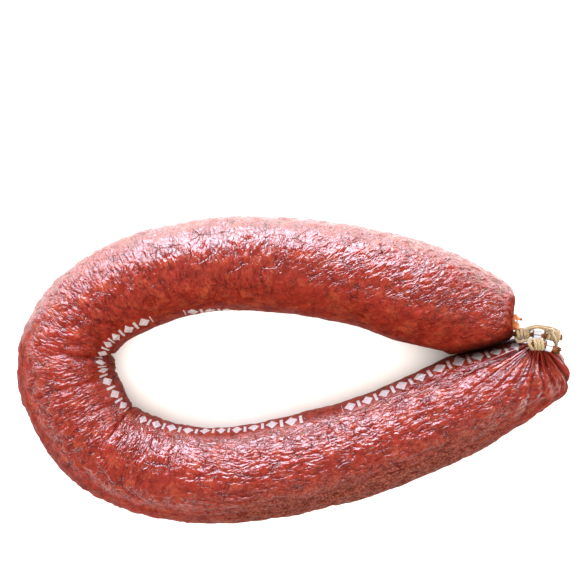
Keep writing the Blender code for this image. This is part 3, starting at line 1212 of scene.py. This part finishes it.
@dataclass(frozen=True)
class Twine:
    """The twine that ties the two necks together, laid in plies, with its fuzz and loose ends.

    Attributes:
        thickness: The twine's diameter.
        plies: How many plies it is laid in.
        lay: The length in which a ply goes once round.
        knot: The turns knotted round the far neck.
        back: The strand from the knot back past the far clip.
        far_coil: The turns round the far neck, inside its clip.
        over: The strand that crosses to the near neck.
        near_coil: The turns round the near neck.
        wrap: The strand that crosses over the knot's turns.
        loose: Thin single plies that lie loose from the coil to the knot, and past it.
        each_turn: The points to a turn of a coil.
        columns: The points round a ply.
        fuzz: How many loose fibres stand out of it.
        fuzz_length: The length of the shortest and the longest of them.
        fuzz_thickness: Their thickness. Real ones are finer than would show, so these are drawn
            thicker.
    """

    thickness: float = 1.45
    plies: int = 3
    lay: float = 3.6
    knot: Coil = Coil(FAR_END, (10.4, 4.0), 4.25, 0.75, 2.375)
    back: Route = ((112.7, -15.8, 27.3), (110.4, -15.1, 28.2), (108.2, -15.2, 27.6))
    far_coil: Coil = Coil(FAR_END, (-3.1, -9.3), -4.5, 0.0, 2.125)
    over: Route = ((100.8, -21.2, 27.4), (101.9, -21.4, 30.0), (104.1, -20.6, 32.3))
    near_coil: Coil = Coil(NEAR_END, (-7.9, -2.75), 3.5, 0.0, 2.125)
    wrap: Coil = Coil(FAR_END, (4.2, 10.0), 0.62, -0.05, 3.55)
    loose: tuple[Route, ...] = (
        (
            (104.0, -16.2, 27.6),
            (107.5, -15.0, 29.0),
            (111.5, -14.9, 29.1),
            (115.5, -15.9, 28.6),
            (119.6, -16.4, 28.3),
        ),
        (
            (104.6, -15.6, 26.6),
            (108.5, -14.2, 28.1),
            (113.0, -14.5, 28.2),
            (117.3, -15.4, 27.9),
            (120.6, -16.9, 27.3),
        ),
    )
    each_turn: int = 14
    columns: int = 8
    fuzz: int = 220
    fuzz_length: tuple[float, float] = (0.9, 2.4)
    fuzz_thickness: float = 0.08

    def plies_along(self, line: Array, seed: float) -> list[bpy.types.Object]:
        """Makes the plies of a laid strand.

        Args:
            line: The strand's middle.
            seed: A number that sets its streaks apart from another strand's.

        Returns:
            The plies' objects.
        """
        radius = self.thickness / 2 / (1.0 + 1.0 / math.sin(math.pi / self.plies))
        side, over = across(line)
        run = distances(line)
        made = []
        for number in range(self.plies):
            angle = TURN * (run / self.lay + number / self.plies)
            aside = np.cos(angle)[:, None] * side + np.sin(angle)[:, None] * over
            ply = line + aside * (self.thickness / 2 - radius)
            made.append(self.ply(ply, np.full(len(line), 1.08 * radius), seed + number))
        return made

    def ply(self, line: Array, radii: Array, seed: float) -> bpy.types.Object:
        """Makes one ply, with coordinates that follow its fibres.

        Args:
            line: The ply's middle.
            radii: Its radius at each point of it.
            seed: A number that sets its streaks apart from another ply's.

        Returns:
            The ply's object.
        """
        spots = tube(line, radii, radii, self.columns)
        run = np.broadcast_to(distances(line)[:, None], spots.shape[:2])
        spun = TURN * (np.arange(self.columns + 1) / self.columns + run / self.lay)
        values = {"spun": np.stack([run / 6.0 + 7.0 * seed, np.cos(spun), np.sin(spun)], axis=-1)}
        return add_tube("ply", spots, values)

    def fibres(self, line: Array) -> list[bpy.types.Object]:
        """Makes the loose fibres that stand out of a strand.

        Args:
            line: The strand's middle.

        Returns:
            The fibres' objects.
        """
        chance = np.random.default_rng(7)
        side, over = across(line)
        made = []
        for _ in range(self.fuzz):
            start = chance.integers(1, len(line) - 1)
            angle = chance.uniform(0.0, TURN)
            out = side[start] * math.cos(angle) + over[start] * math.sin(angle)
            along = unit(line[start + 1] - line[start - 1]) * chance.choice((-1.0, 1.0))
            length = chance.uniform(*self.fuzz_length)
            root = line[start] + out * self.thickness * 0.42
            middle = root + (out * 0.35 + along * 0.35) * length
            tip = middle + (along * 0.3 + out * 0.1 + chance.normal(0.0, 0.25, 3)) * length
            curve = smooth_line((root, middle, tip), 2)
            radii = np.linspace(0.5, 0.15, len(curve)) * self.fuzz_thickness
            spots = tube(curve, radii, radii, 4)
            made.append(add_tube("fibre", spots, {"spun": spots}))
        return made

    def build(self) -> bpy.types.Object:
        """Makes the twine.

        Returns:
            Its object: the plies, the loose plies and the fibres as one piece.
        """
        parts = (
            self.knot.points(self.each_turn),
            self.back,
            self.far_coil.points(self.each_turn),
            self.over,
            self.near_coil.points(self.each_turn),
        )
        strand = smooth_line(np.concatenate([np.array(part) for part in parts]), 3)
        wrap = smooth_line(self.wrap.points(self.each_turn), 3)
        pieces = self.plies_along(strand, 0.0) + self.plies_along(wrap, 5.0)
        for number, points in enumerate(self.loose):
            line = smooth_line(points, 10)
            radii = np.interp(np.linspace(0.0, 1.0, len(line)), (0.0, 0.8, 1.0), (0.42, 0.36, 0.12))
            pieces.append(self.ply(line, radii, 20.0 + number))
        return join("twine_laid", pieces + self.fibres(strand))


@dataclass(frozen=True)
class Clip:
    """A strip of soft aluminium bent round a neck and pressed shut.

    Attributes:
        end: The end whose neck it grips.
        length: Its length along the neck.
        wall: The strip's thickness.
        inner: The radius of its bore.
        spread: How much wider it was pressed than it is high.
        square: How square the press left it: 2 is round.
        edge: How sharply the strip's edges are rounded: 0 is square and 1 is round.
        gap: The gap left where the strip's ends meet, in turns.
        dent: How deep the press's jaws marked it.
        jaw: Half the width of their marks, as a share of the clip's radius.
        steps: How many points the strip has along its bend.
        corners: How many points go round the strip's own section.
    """

    end: End
    length: float = 3.4
    wall: float = 1.1
    inner: float = 1.4
    spread: float = 1.15
    square: float = 3.2
    edge: float = 0.45
    gap: float = 0.02
    dent: float = 0.22
    jaw: float = 0.3
    steps: int = 60
    corners: int = 24

    def build(self, name: str) -> bpy.types.Object:
        """Makes the clip.

        Args:
            name: Its name.

        Returns:
            The clip's object.
        """
        spot, side, over, way = self.end.frame(0.0)
        turned = TURN * (0.25 + np.linspace(self.gap / 2, 1.0 - self.gap / 2, self.steps))
        powers = np.abs(np.cos(turned)) ** self.square + np.abs(np.sin(turned)) ** self.square
        corner = powers ** (-1.0 / self.square)
        out = np.cos(turned)[:, None] * side * self.spread + np.sin(turned)[:, None] * over
        middle = out * (corner * (self.inner + self.wall / 2))[:, None]
        around = np.linspace(0.0, TURN, self.corners + 1)
        box = np.stack([np.cos(around), np.sin(around)], axis=1)
        box = np.sign(box) * np.abs(box) ** self.edge
        jaws = np.exp(-((np.abs(np.cos(turned)) / self.jaw) ** 2))
        outside = np.maximum(box[:, 1], 0.0)[None, :] * (jaws * self.dent)[:, None]
        outside = outside * np.cos(box[:, 0] * TURN / 4)[None, :]
        thick = box[None, :, 1] * (self.wall / 2) - outside
        long = box[None, :, 0] * self.length / 2 * np.ones((len(turned), 1))
        radial = unit(out)[:, None, :]
        spots = spot + middle[:, None, :] + radial * thick[..., None] + way * long[..., None]
        return add_tube(name, spots, {})


CLIPS = {"far": Clip(FAR_END), "near": Clip(NEAR_END, length=2.8, wall=0.8)}


# --- Finishes ----------------------------------------------------------------------------------
def new_material(name: str) -> tuple[bpy.types.Material, Tree, bpy.types.Node]:
    """Starts a material.

    Args:
        name: Its name.

    Returns:
        The material, its node tree and its Principled shader.
    """
    made = bpy.data.materials.new(name)
    made.use_nodes = True
    return made, made.node_tree, made.node_tree.nodes["Principled BSDF"]


def set_values(shader: bpy.types.Node, **values: Any) -> None:
    """Sets a shader's own sockets, whose names are written with _ for each space."""
    for name, value in values.items():
        shader.inputs[name.replace("_", " ")].default_value = value


@dataclass(frozen=True)
class CasingFinish:
    """A clear glossy film shrunk on cured meat: sharp reflections broken by its wrinkles.

    Attributes:
        meat: The cured meat under the film.
        deep: The meat where it is darkest, also the painted shade in the relief's low places.
        fat: The pieces of fat that show through.
        dull: The side where the film lies dry and grey on the meat.
        bloom: The paler grain of that side.
        furrow_shade: Painted shade in the furrows, the grooves and the pleats' valleys.
        shaded: Painted shade between the arms, where they press together, and in the cut tails.
        film: The film alone, where it is gathered with no meat under it.
        ink: The white ink of the printed marks.
        grain: The size of the pieces of meat and fat, in millimetres.
        mottle: The size of the broader, paler areas of meat, in millimetres.
        crinkle: The size of the film's small domes, in millimetres.
        crackle: The size of the cells between its finest creases, in millimetres. Real ones are
            finer than would show, so these are drawn coarser and wider.
        crack: The spacing of its longest and deepest creases, in millimetres. These are hairlines
            too, drawn wider than real so that they show.
        leather: The size of the dry side's grain, in millimetres.
        pitch: The spacing of the printed lozenges, in millimetres.
        lozenge: Half the width and half the height of a lozenge, in millimetres.
        bar: Half the width and half the height of the bars between them, in millimetres.
        bleed: How softly the ink's edges end, in millimetres.
        wander: The size of the bends that creases wander in, and how far they stray, in
            millimetres.
        patch: The size of the areas that are more or less cracked, in millimetres.
        dust: The size of the finest roughness, in millimetres.
        fine_pleat: How closely the finest pleats follow each other round a neck.
        relief_height: The height of the small domes, in millimetres.
        dust_height: How high the finest roughness is where the film shines, and where it is dull,
            as a share of that height.
        pleat_slope: The noise's value where a fine pleat has risen in full, and its height as a
            share of that height.
        pleat_valley: The noise's value where the valley between two of them ends.
        cover: How well the ink covers the film, from 0 to 1.
    """

    meat: str = "80271b"
    deep: str = "66180f"
    fat: str = "9a452c"
    dull: str = "521f16"
    bloom: str = "834639"
    furrow_shade: str = "330705"
    shaded: str = "1c0604"
    film: str = "a8683c"
    ink: str = "bab0b2"
    grain: float = 4.2
    mottle: float = 26.0
    crinkle: float = 2.8
    crackle: float = 1.7
    crack: float = 14.0
    leather: float = 1.1
    pitch: float = 9.1
    lozenge: tuple[float, float] = (3.0, 3.7)
    bar: tuple[float, float] = (0.72, 3.0)
    bleed: float = 0.25
    wander: tuple[float, float] = (5.0, 3.4)
    patch: float = 6.0
    dust: float = 0.9
    fine_pleat: float = 3.4
    relief_height: float = 0.38
    dust_height: tuple[float, float] = (0.35, 2.2)
    pleat_slope: tuple[float, float] = (0.12, 4.2)
    pleat_valley: float = 0.045
    cover: float = 0.85

    def make(self) -> bpy.types.Material:
        """Makes the material.

        Returns:
            The material.
        """
        made, tree, shader = new_material("Shrunk casing on cured meat")
        rolled = add_node(tree, "ShaderNodeAttribute", {}, "Vector", attribute_name="rolled")
        dry = add_node(tree, "ShaderNodeAttribute", {}, "Fac", attribute_name="dry")
        height, groove = self.relief(tree, rolled, dry)
        colour = self.meat_colour(tree, rolled, height, groove)
        painted_shade = add_node(tree, "ShaderNodeAttribute", {}, "Fac", attribute_name="painted_shade")
        # The printed marks, then painted shade between the arms and in the cut tails.
        for share, over in ((self.marks(tree), self.ink), (painted_shade, self.shaded)):
            inputs = {0: share, 6: colour, 7: linear(over)}
            colour = add_node(tree, "ShaderNodeMix", inputs, 2, data_type="RGBA")
        bump = add_node(
            tree, "ShaderNodeBump", {"Height": height, "Strength": 1.0, "Distance": self.relief_height * MM}
        )
        gloss = add_node(tree, "ShaderNodeMapRange", {"Value": dry, "To Min": 1.0, "To Max": 0.0})
        tree.links.new(colour, shader.inputs["Base Color"])
        tree.links.new(bump, shader.inputs["Normal"])
        tree.links.new(bump, shader.inputs["Coat Normal"])
        tree.links.new(gloss, shader.inputs["Coat Weight"])
        set_values(shader, Roughness=0.5, IOR=1.45, Specular_IOR_Level=0.03)
        set_values(shader, Coat_Roughness=0.09, Coat_IOR=1.9)
        set_values(shader, Subsurface_Weight=0.15, Subsurface_Scale=1.0 * MM)
        shader.inputs["Subsurface Radius"].default_value = (1.0, 0.3, 0.2)
        return made

    def meat_colour(self, tree: Tree, rolled: Socket, height: Socket, groove: Socket) -> Socket:
        """The colour of meat, fat, grey side, bare film, and painted shade in hollows and furrows.

        Args:
            tree: The material's tree.
            rolled: The film's own coordinates.
            height: The small relief.
            groove: How deep in a small groove each place is.

        Returns:
            The colour before anything is printed on it.
        """
        colour: Any = linear(self.deep)
        for over, size, low, high, most in (
            (self.meat, self.grain, 0.4, 0.56, 0.9),
            (self.meat, self.mottle, 0.35, 0.65, 0.6),
            (self.fat, self.grain * 1.6, 0.5, 0.66, 0.5),
            (self.fat, self.grain * 0.4, 0.56, 0.68, 0.35),
        ):
            inputs = {"Vector": rolled, "Scale": 1.0 / size, "Detail": 3.0, "Roughness": 0.6}
            noisy = add_node(tree, "ShaderNodeTexNoise", inputs)
            inputs = {"Value": noisy, "From Min": low, "From Max": high, "To Max": most}
            share = add_node(tree, "ShaderNodeMapRange", inputs)
            inputs = {0: share, 6: colour, 7: linear(over)}
            colour = add_node(tree, "ShaderNodeMix", inputs, 2, data_type="RGBA")
        inputs = {"Vector": rolled, "Scale": 1.0 / self.leather, "Detail": 3.0, "Roughness": 0.7}
        grainy = add_node(tree, "ShaderNodeTexNoise", inputs)
        inputs = {"Value": grainy, "From Min": 0.42, "From Max": 0.6}
        share = add_node(tree, "ShaderNodeMapRange", inputs)
        inputs = {0: share, 6: linear(self.dull), 7: linear(self.bloom)}
        leathery = add_node(tree, "ShaderNodeMix", inputs, 2, data_type="RGBA")
        grey = add_node(tree, "ShaderNodeAttribute", {}, "Fac", attribute_name="grey")
        bare = add_node(tree, "ShaderNodeAttribute", {}, "Fac", attribute_name="bare")
        furrow_shade = add_node(tree, "ShaderNodeAttribute", {}, "Fac", attribute_name="furrow_shade")
        # Painted shade: low places of the relief turn toward the deepest meat colour.
        hollow_shade = add_node(
            tree, "ShaderNodeMapRange", {"Value": height, "From Min": 0.9, "From Max": 0.1, "To Max": 0.4}
        )
        # Painted shade in the small grooves, and in the furrows and pleat valleys.
        thin = add_node(tree, "ShaderNodeMath", {0: groove, 1: 0.5}, operation="MULTIPLY")
        wide = add_node(tree, "ShaderNodeMath", {0: furrow_shade, 1: 0.6}, operation="MULTIPLY")
        for over, share in (
            (leathery, grey),
            (linear(self.deep), hollow_shade),
            (linear(self.furrow_shade), thin),
            (linear(self.furrow_shade), wide),
            (linear(self.film), bare),
        ):
            inputs = {0: share, 6: colour, 7: over}
            colour = add_node(tree, "ShaderNodeMix", inputs, 2, data_type="RGBA")
        return colour

    def relief(self, tree: Tree, rolled: Socket, dry: Socket) -> tuple[Socket, Socket]:
        """The small domes of the film, the thin grooves between them, and the fine pleats.

        Args:
            tree: The material's tree.
            rolled: The film's own coordinates.
            dry: How dull and leathery the film is.

        Returns:
            Their height, and how deep in a groove each place is, which sets painted shade.
        """
        bends, stray = self.wander
        inputs = {"Vector": rolled, "Scale": 1.0 / bends, "Detail": 2.0, "Roughness": 0.55}
        wander = add_node(tree, "ShaderNodeTexNoise", inputs, "Color")
        centred = add_node(
            tree, "ShaderNodeVectorMath", {0: wander, 1: (0.5, 0.5, 0.5)}, operation="SUBTRACT"
        )
        warped = add_node(
            tree, "ShaderNodeVectorMath", {0: centred, 1: (stray, stray, stray), 2: rolled},
            operation="MULTIPLY_ADD",
        )
        folds = add_node(tree, "ShaderNodeAttribute", {}, "Vector", attribute_name="folds")
        masks = add_node(tree, "ShaderNodeSeparateXYZ", {0: folds}).node.outputs
        inputs = {"Vector": rolled, "Scale": 1.0 / self.patch, "Detail": 2.0}
        patchy = add_node(tree, "ShaderNodeTexNoise", inputs)
        inputs = {"Value": patchy, "From Min": 0.4, "From Max": 0.6, "To Min": 0.15, "To Max": 1.0}
        strong = add_node(tree, "ShaderNodeMapRange", inputs)
        height: Any = 0.0
        groove: Any = 0.0
        for number, lay in enumerate(Lay):
            length, width, slope = lay.value
            leaning = add_node(
                tree, "ShaderNodeVectorMath", {0: warped, 1: (0.0, slope, 0.0)}, "Value",
                operation="DOT_PRODUCT",
            )
            lean = add_node(tree, "ShaderNodeCombineXYZ", {0: leaning})
            leant = add_node(tree, "ShaderNodeVectorMath", {0: warped, 1: lean})
            size = [1.0 / self.crinkle / share for share in (length, width, width)]
            place = (number * 7.0, 0.0, 0.0)
            fitted = add_node(
                tree, "ShaderNodeMapping", {"Vector": leant, "Scale": size, "Location": place}
            )
            inputs = {"Vector": fitted, "Scale": 0.75, "Detail": 2.0, "Roughness": 0.55}
            rolling = add_node(tree, "ShaderNodeTexNoise", inputs)
            level = add_node(tree, "ShaderNodeMath", {0: rolling, 1: 0.5}, operation="SUBTRACT")
            apart = add_node(tree, "ShaderNodeMath", {0: level}, operation="ABSOLUTE")
            border = add_node(
                tree, "ShaderNodeTexVoronoi", {"Vector": fitted, "Scale": 1.0}, "Distance",
                feature="DISTANCE_TO_EDGE",
            )
            inputs = {"Value": border, "From Max": 0.06, "To Min": 1.0, "To Max": 0.0}
            crack = add_node(tree, "ShaderNodeMapRange", inputs, interpolation_type="SMOOTHSTEP")
            broken = add_node(tree, "ShaderNodeMath", {0: crack, 1: strong}, operation="MULTIPLY")
            for share, value, near, far, target in (
                (0.5, apart, 0.0, 0.17, "height"),
                (0.7, border, 0.0, 0.4, "height"),
                (-0.35, broken, 0.0, 1.0, "height"),
                (1.0, apart, 0.02, 0.0, "groove"),
                (0.8, broken, 0.0, 1.0, "groove"),
            ):
                inputs = {"Value": value, "From Min": near, "From Max": far, "To Max": share}
                part = add_node(tree, "ShaderNodeMapRange", inputs, interpolation_type="SMOOTHSTEP")
                inputs = {0: part, 1: masks[number], 2: height if target == "height" else groove}
                total = add_node(tree, "ShaderNodeMath", inputs, operation="MULTIPLY_ADD")
                height, groove = (total, groove) if target == "height" else (height, total)
        # Hairline creases sink the relief and add to the grooves that get painted shade.
        for size, width, dark, deep in (
            (self.crackle, 0.09, 0.55, -0.25),
            (self.crack, 0.026, 1.3, -0.6),
        ):
            inputs = {"Vector": warped, "Scale": 1.0 / size}
            border = add_node(
                tree, "ShaderNodeTexVoronoi", inputs, "Distance", feature="DISTANCE_TO_EDGE"
            )
            inputs = {"Value": border, "From Max": width, "To Min": dark, "To Max": 0.0}
            line = add_node(tree, "ShaderNodeMapRange", inputs)
            line = add_node(tree, "ShaderNodeMath", {0: line, 1: strong}, operation="MULTIPLY")
            groove = add_node(tree, "ShaderNodeMath", {0: groove, 1: line}, operation="MAXIMUM")
            inputs = {0: line, 1: deep, 2: height}
            height = add_node(tree, "ShaderNodeMath", inputs, operation="MULTIPLY_ADD")
        inputs = {"Vector": warped, "Scale": 1.0 / self.dust, "Detail": 3.0, "Roughness": 0.6}
        fine = add_node(tree, "ShaderNodeTexNoise", inputs)
        shiny, dull = self.dust_height
        amount = add_node(tree, "ShaderNodeMapRange", {"Value": dry, "To Min": shiny, "To Max": dull})
        inputs = {0: fine, 1: amount, 2: height}
        height = add_node(tree, "ShaderNodeMath", inputs, operation="MULTIPLY_ADD")
        return self.fine_pleats(tree, height, groove)

    def fine_pleats(self, tree: Tree, height: Socket, groove: Socket) -> tuple[Socket, Socket]:
        """Adds the fine pleats that spread from each neck.

        Args:
            tree: The material's tree.
            height: The relief without them.
            groove: The grooves without theirs.

        Returns:
            The relief and the grooves with them.
        """
        spread = add_node(tree, "ShaderNodeAttribute", {}, "Vector", attribute_name="spread")
        cosine, sine, strong = add_node(tree, "ShaderNodeSeparateXYZ", {0: spread}).node.outputs
        around = add_node(tree, "ShaderNodeCombineXYZ", {0: cosine, 1: sine})
        inputs = {"Vector": around, "Scale": self.fine_pleat, "Detail": 2.0, "Roughness": 0.6}
        level = add_node(tree, "ShaderNodeTexNoise", inputs)
        level = add_node(tree, "ShaderNodeMath", {0: level, 1: 0.5}, operation="SUBTRACT")
        apart = add_node(tree, "ShaderNodeMath", {0: level}, operation="ABSOLUTE")
        breadth, rise = self.pleat_slope
        inputs = {"Value": apart, "From Max": breadth, "To Max": rise}
        crest = add_node(tree, "ShaderNodeMapRange", inputs)
        inputs = {"Value": apart, "From Min": self.pleat_valley, "From Max": 0.0}
        valley = add_node(tree, "ShaderNodeMapRange", inputs)
        pleated = add_node(tree, "ShaderNodeMix", {0: strong, 2: height, 3: crest})
        sunk = add_node(tree, "ShaderNodeMix", {0: strong, 2: groove, 3: valley})
        return pleated, sunk

    def marks(self, tree: Tree) -> Socket:
        """Draws the printed marks, a row of lozenges and bars by turns.

        Args:
            tree: The material's tree.

        Returns:
            Where the ink is, from 0 to 1.
        """
        band = add_node(tree, "ShaderNodeAttribute", {}, "Vector", attribute_name="band")
        along, up, inside = add_node(tree, "ShaderNodeSeparateXYZ", {0: band}).node.outputs
        half = self.pitch / 2
        wide, tall = self.bar
        soft = self.bleed / 2
        wrapped = add_node(tree, "ShaderNodeMath", {0: along, 1: self.pitch, 2: 0.0}, operation="WRAP")
        place = add_node(tree, "ShaderNodeMath", {0: wrapped, 1: half}, operation="SUBTRACT")
        aside = add_node(tree, "ShaderNodeMath", {0: place}, operation="ABSOLUTE")
        high = add_node(tree, "ShaderNodeMath", {0: up}, operation="ABSOLUTE")
        broad, upright = self.lozenge
        inputs = {0: high, 1: broad / upright, 2: aside}
        both = add_node(tree, "ShaderNodeMath", inputs, operation="MULTIPLY_ADD")
        inputs = {"Value": both, "From Min": broad + soft, "From Max": broad - soft}
        lozenge = add_node(tree, "ShaderNodeMapRange", inputs)
        inputs = {"Value": aside, "From Min": half - wide - soft, "From Max": half - wide + soft}
        bar = add_node(tree, "ShaderNodeMapRange", inputs)
        inputs = {"Value": high, "From Min": tall + soft, "From Max": tall - soft}
        short = add_node(tree, "ShaderNodeMapRange", inputs)
        bar = add_node(tree, "ShaderNodeMath", {0: bar, 1: short}, operation="MULTIPLY")
        shape = add_node(tree, "ShaderNodeMath", {0: lozenge, 1: bar}, operation="MAXIMUM")
        inputs = {"Value": inside, "From Max": self.bleed, "To Max": self.cover}
        ends = add_node(tree, "ShaderNodeMapRange", inputs)
        return add_node(tree, "ShaderNodeMath", {0: shape, 1: ends}, operation="MULTIPLY")


@dataclass(frozen=True)
class TwineFinish:
    """Undyed hemp, spun and laid in plies: dull, pale, and streaked along its fibres.

    Attributes:
        pale: The lighter fibres.
        dark: The darker fibres and the gaps between them.
        streak: The width of a streak, as a share of a ply's radius.
    """

    pale: str = "a9946f"
    dark: str = "665034"
    streak: float = 0.3

    def make(self) -> bpy.types.Material:
        """Makes the material.

        Returns:
            The material.
        """
        made, tree, shader = new_material("Undyed hemp twine")
        spun = add_node(tree, "ShaderNodeAttribute", {}, "Vector", attribute_name="spun")
        inputs = {"Vector": spun, "Scale": 1.0 / self.streak, "Detail": 3.0}
        streaks = add_node(tree, "ShaderNodeTexNoise", inputs)
        inputs = {"Value": streaks, "From Min": 0.35, "From Max": 0.6}
        share = add_node(tree, "ShaderNodeMapRange", inputs)
        inputs = {0: share, 6: linear(self.dark), 7: linear(self.pale)}
        tone = add_node(tree, "ShaderNodeMix", inputs, 2, data_type="RGBA")
        bump = add_node(tree, "ShaderNodeBump", {"Height": streaks, "Strength": 0.6, "Distance": 0.1 * MM})
        tree.links.new(tone, shader.inputs["Base Color"])
        tree.links.new(bump, shader.inputs["Normal"])
        set_values(shader, Roughness=0.85, Sheen_Weight=0.25)
        return made


@dataclass(frozen=True)
class AluminiumFinish:
    """Soft aluminium wire pressed in a clipping machine: bright, with faint drawing lines.

    Attributes:
        colour: The metal's colour.
        grain: The spacing of the drawing lines, in millimetres.
    """

    colour: str = "dadde4"
    grain: float = 0.9

    def make(self) -> bpy.types.Material:
        """Makes the material.

        Returns:
            The material.
        """
        made, tree, shader = new_material("Pressed aluminium")
        spot = add_node(tree, "ShaderNodeTexCoord", {}, "Object")
        inputs = {"Vector": spot, "Scale": 1.0 / (self.grain * MM), "Detail": 2.0}
        grain = add_node(tree, "ShaderNodeTexNoise", inputs)
        rough = add_node(tree, "ShaderNodeMapRange", {"Value": grain, "To Min": 0.3, "To Max": 0.5})
        bump = add_node(tree, "ShaderNodeBump", {"Height": grain, "Strength": 0.4, "Distance": 0.1 * MM})
        tree.links.new(rough, shader.inputs["Roughness"])
        tree.links.new(bump, shader.inputs["Normal"])
        set_values(shader, Base_Color=linear(self.colour), Metallic=0.45)
        return made


# --- Studio ------------------------------------------------------------------------------------
@dataclass(frozen=True)
class SoftLight:
    """A broad rectangular light aimed at the ring.

    Attributes:
        name: The light's name.
        spot: Where it stands, in metres.
        size: Its width and height, in metres.
        power: Its power in watts.
        tint: Its colour.
        mirrored: Whether glossy surfaces reflect it.
    """

    name: str
    spot: tuple[float, float, float]
    size: tuple[float, float]
    power: float
    tint: str
    mirrored: bool = True

    def build(self) -> None:
        """Adds the light to the scene."""
        data = bpy.data.lights.new(self.name, "AREA")
        data.shape = "RECTANGLE"
        data.size, data.size_y = self.size
        data.energy = self.power
        data.color = linear(self.tint)[:3]
        lamp = bpy.data.objects.new(self.name, data)
        lamp.location = Vector(self.spot)
        lamp.rotation_euler = (-lamp.location).to_track_quat("-Z", "Y").to_euler()
        lamp.visible_glossy = self.mirrored
        bpy.context.scene.collection.objects.link(lamp)


@dataclass(frozen=True)
class Studio:
    """A plain pale floor, a broad soft window to the far side, and the camera overhead.

    Attributes:
        camera_spot: Where the camera stands, in the ring's own frame.
        lens: Its focal length.
        sensor: The width of its sensor.
        paper: The floor's colour.
        air: The colour of the surroundings.
        glow: How brightly the surroundings shine.
        lamps: The window, and a broad fill that casts no reflection.
    """

    camera_spot: tuple[float, float, float] = (0.0, 0.0, 471.5)
    lens: float = 60.29
    sensor: float = 36.0
    paper: str = "f6f6f6"
    air: str = "f6f7fa"
    glow: float = 0.15
    lamps: tuple[SoftLight, ...] = (
        SoftLight("window", (-0.3, 1.55, 0.5), (2.5, 1.2), 106.0, "e8ebff"),
        SoftLight("fill", (0.05, -0.2, 1.6), (2.2, 2.2), 89.0, "fff8f0", mirrored=False),
    )

    def camera(self) -> None:
        """Adds the camera, looking straight down."""
        data = bpy.data.cameras.new("camera")
        data.lens = self.lens
        data.sensor_width = self.sensor
        camera = bpy.data.objects.new("camera", data)
        camera.location = Vector((np.array(self.camera_spot) + HOME) * MM)
        bpy.context.scene.collection.objects.link(camera)
        bpy.context.scene.camera = camera

    def floor(self) -> None:
        """Adds the floor."""
        clear_selection()
        bpy.ops.mesh.primitive_plane_add(size=6.0, location=(0.0, 0.0, -0.0002))
        floor = bpy.context.object
        floor.name = "floor"
        made, _, shader = new_material("Matt white paper")
        set_values(shader, Base_Color=linear(self.paper), Roughness=0.9)
        floor.data.materials.append(made)

    def surroundings(self) -> None:
        """Adds the pale surroundings, shown as they are."""
        world = bpy.data.worlds.new("surroundings")
        world.use_nodes = True
        background = world.node_tree.nodes["Background"]
        background.inputs["Color"].default_value = linear(self.air)
        background.inputs["Strength"].default_value = self.glow
        bpy.context.scene.world = world
        bpy.context.scene.view_settings.view_transform = "Standard"

    def build(self) -> None:
        """Builds the studio."""
        self.camera()
        self.floor()
        for lamp in self.lamps:
            lamp.build()
        self.surroundings()


def finish_piece(piece: bpy.types.Object, material: bpy.types.Material, node: str) -> None:
    """Dresses a piece that stands for a solid of the model, and makes it ride on the body.

    Args:
        piece: The piece.
        material: Its finish.
        node: The solid's name.
    """
    piece.data.materials.clear()
    piece.data.materials.append(material)
    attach(piece, "root")
    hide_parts(node)
    LOG.info("%s: %d triangles", piece.name, sum(len(face.vertices) - 2 for face in piece.data.polygons))


def main() -> None:
    """Builds the sausage and its studio."""
    logging.basicConfig(level=logging.INFO, format="%(name)s: %(message)s")
    Studio().build()
    casing = join("casing", [Casing().build(), *Shreds().build()])
    finish_piece(casing, CasingFinish().make(), "sausage")
    metal = AluminiumFinish().make()
    for side, clip in CLIPS.items():
        finish_piece(clip.build(f"pressed_clip_{side}"), metal, f"clip_{side}")
    finish_piece(Twine().build(), TwineFinish().make(), "twine")


if __name__ == "__main__":
    main()
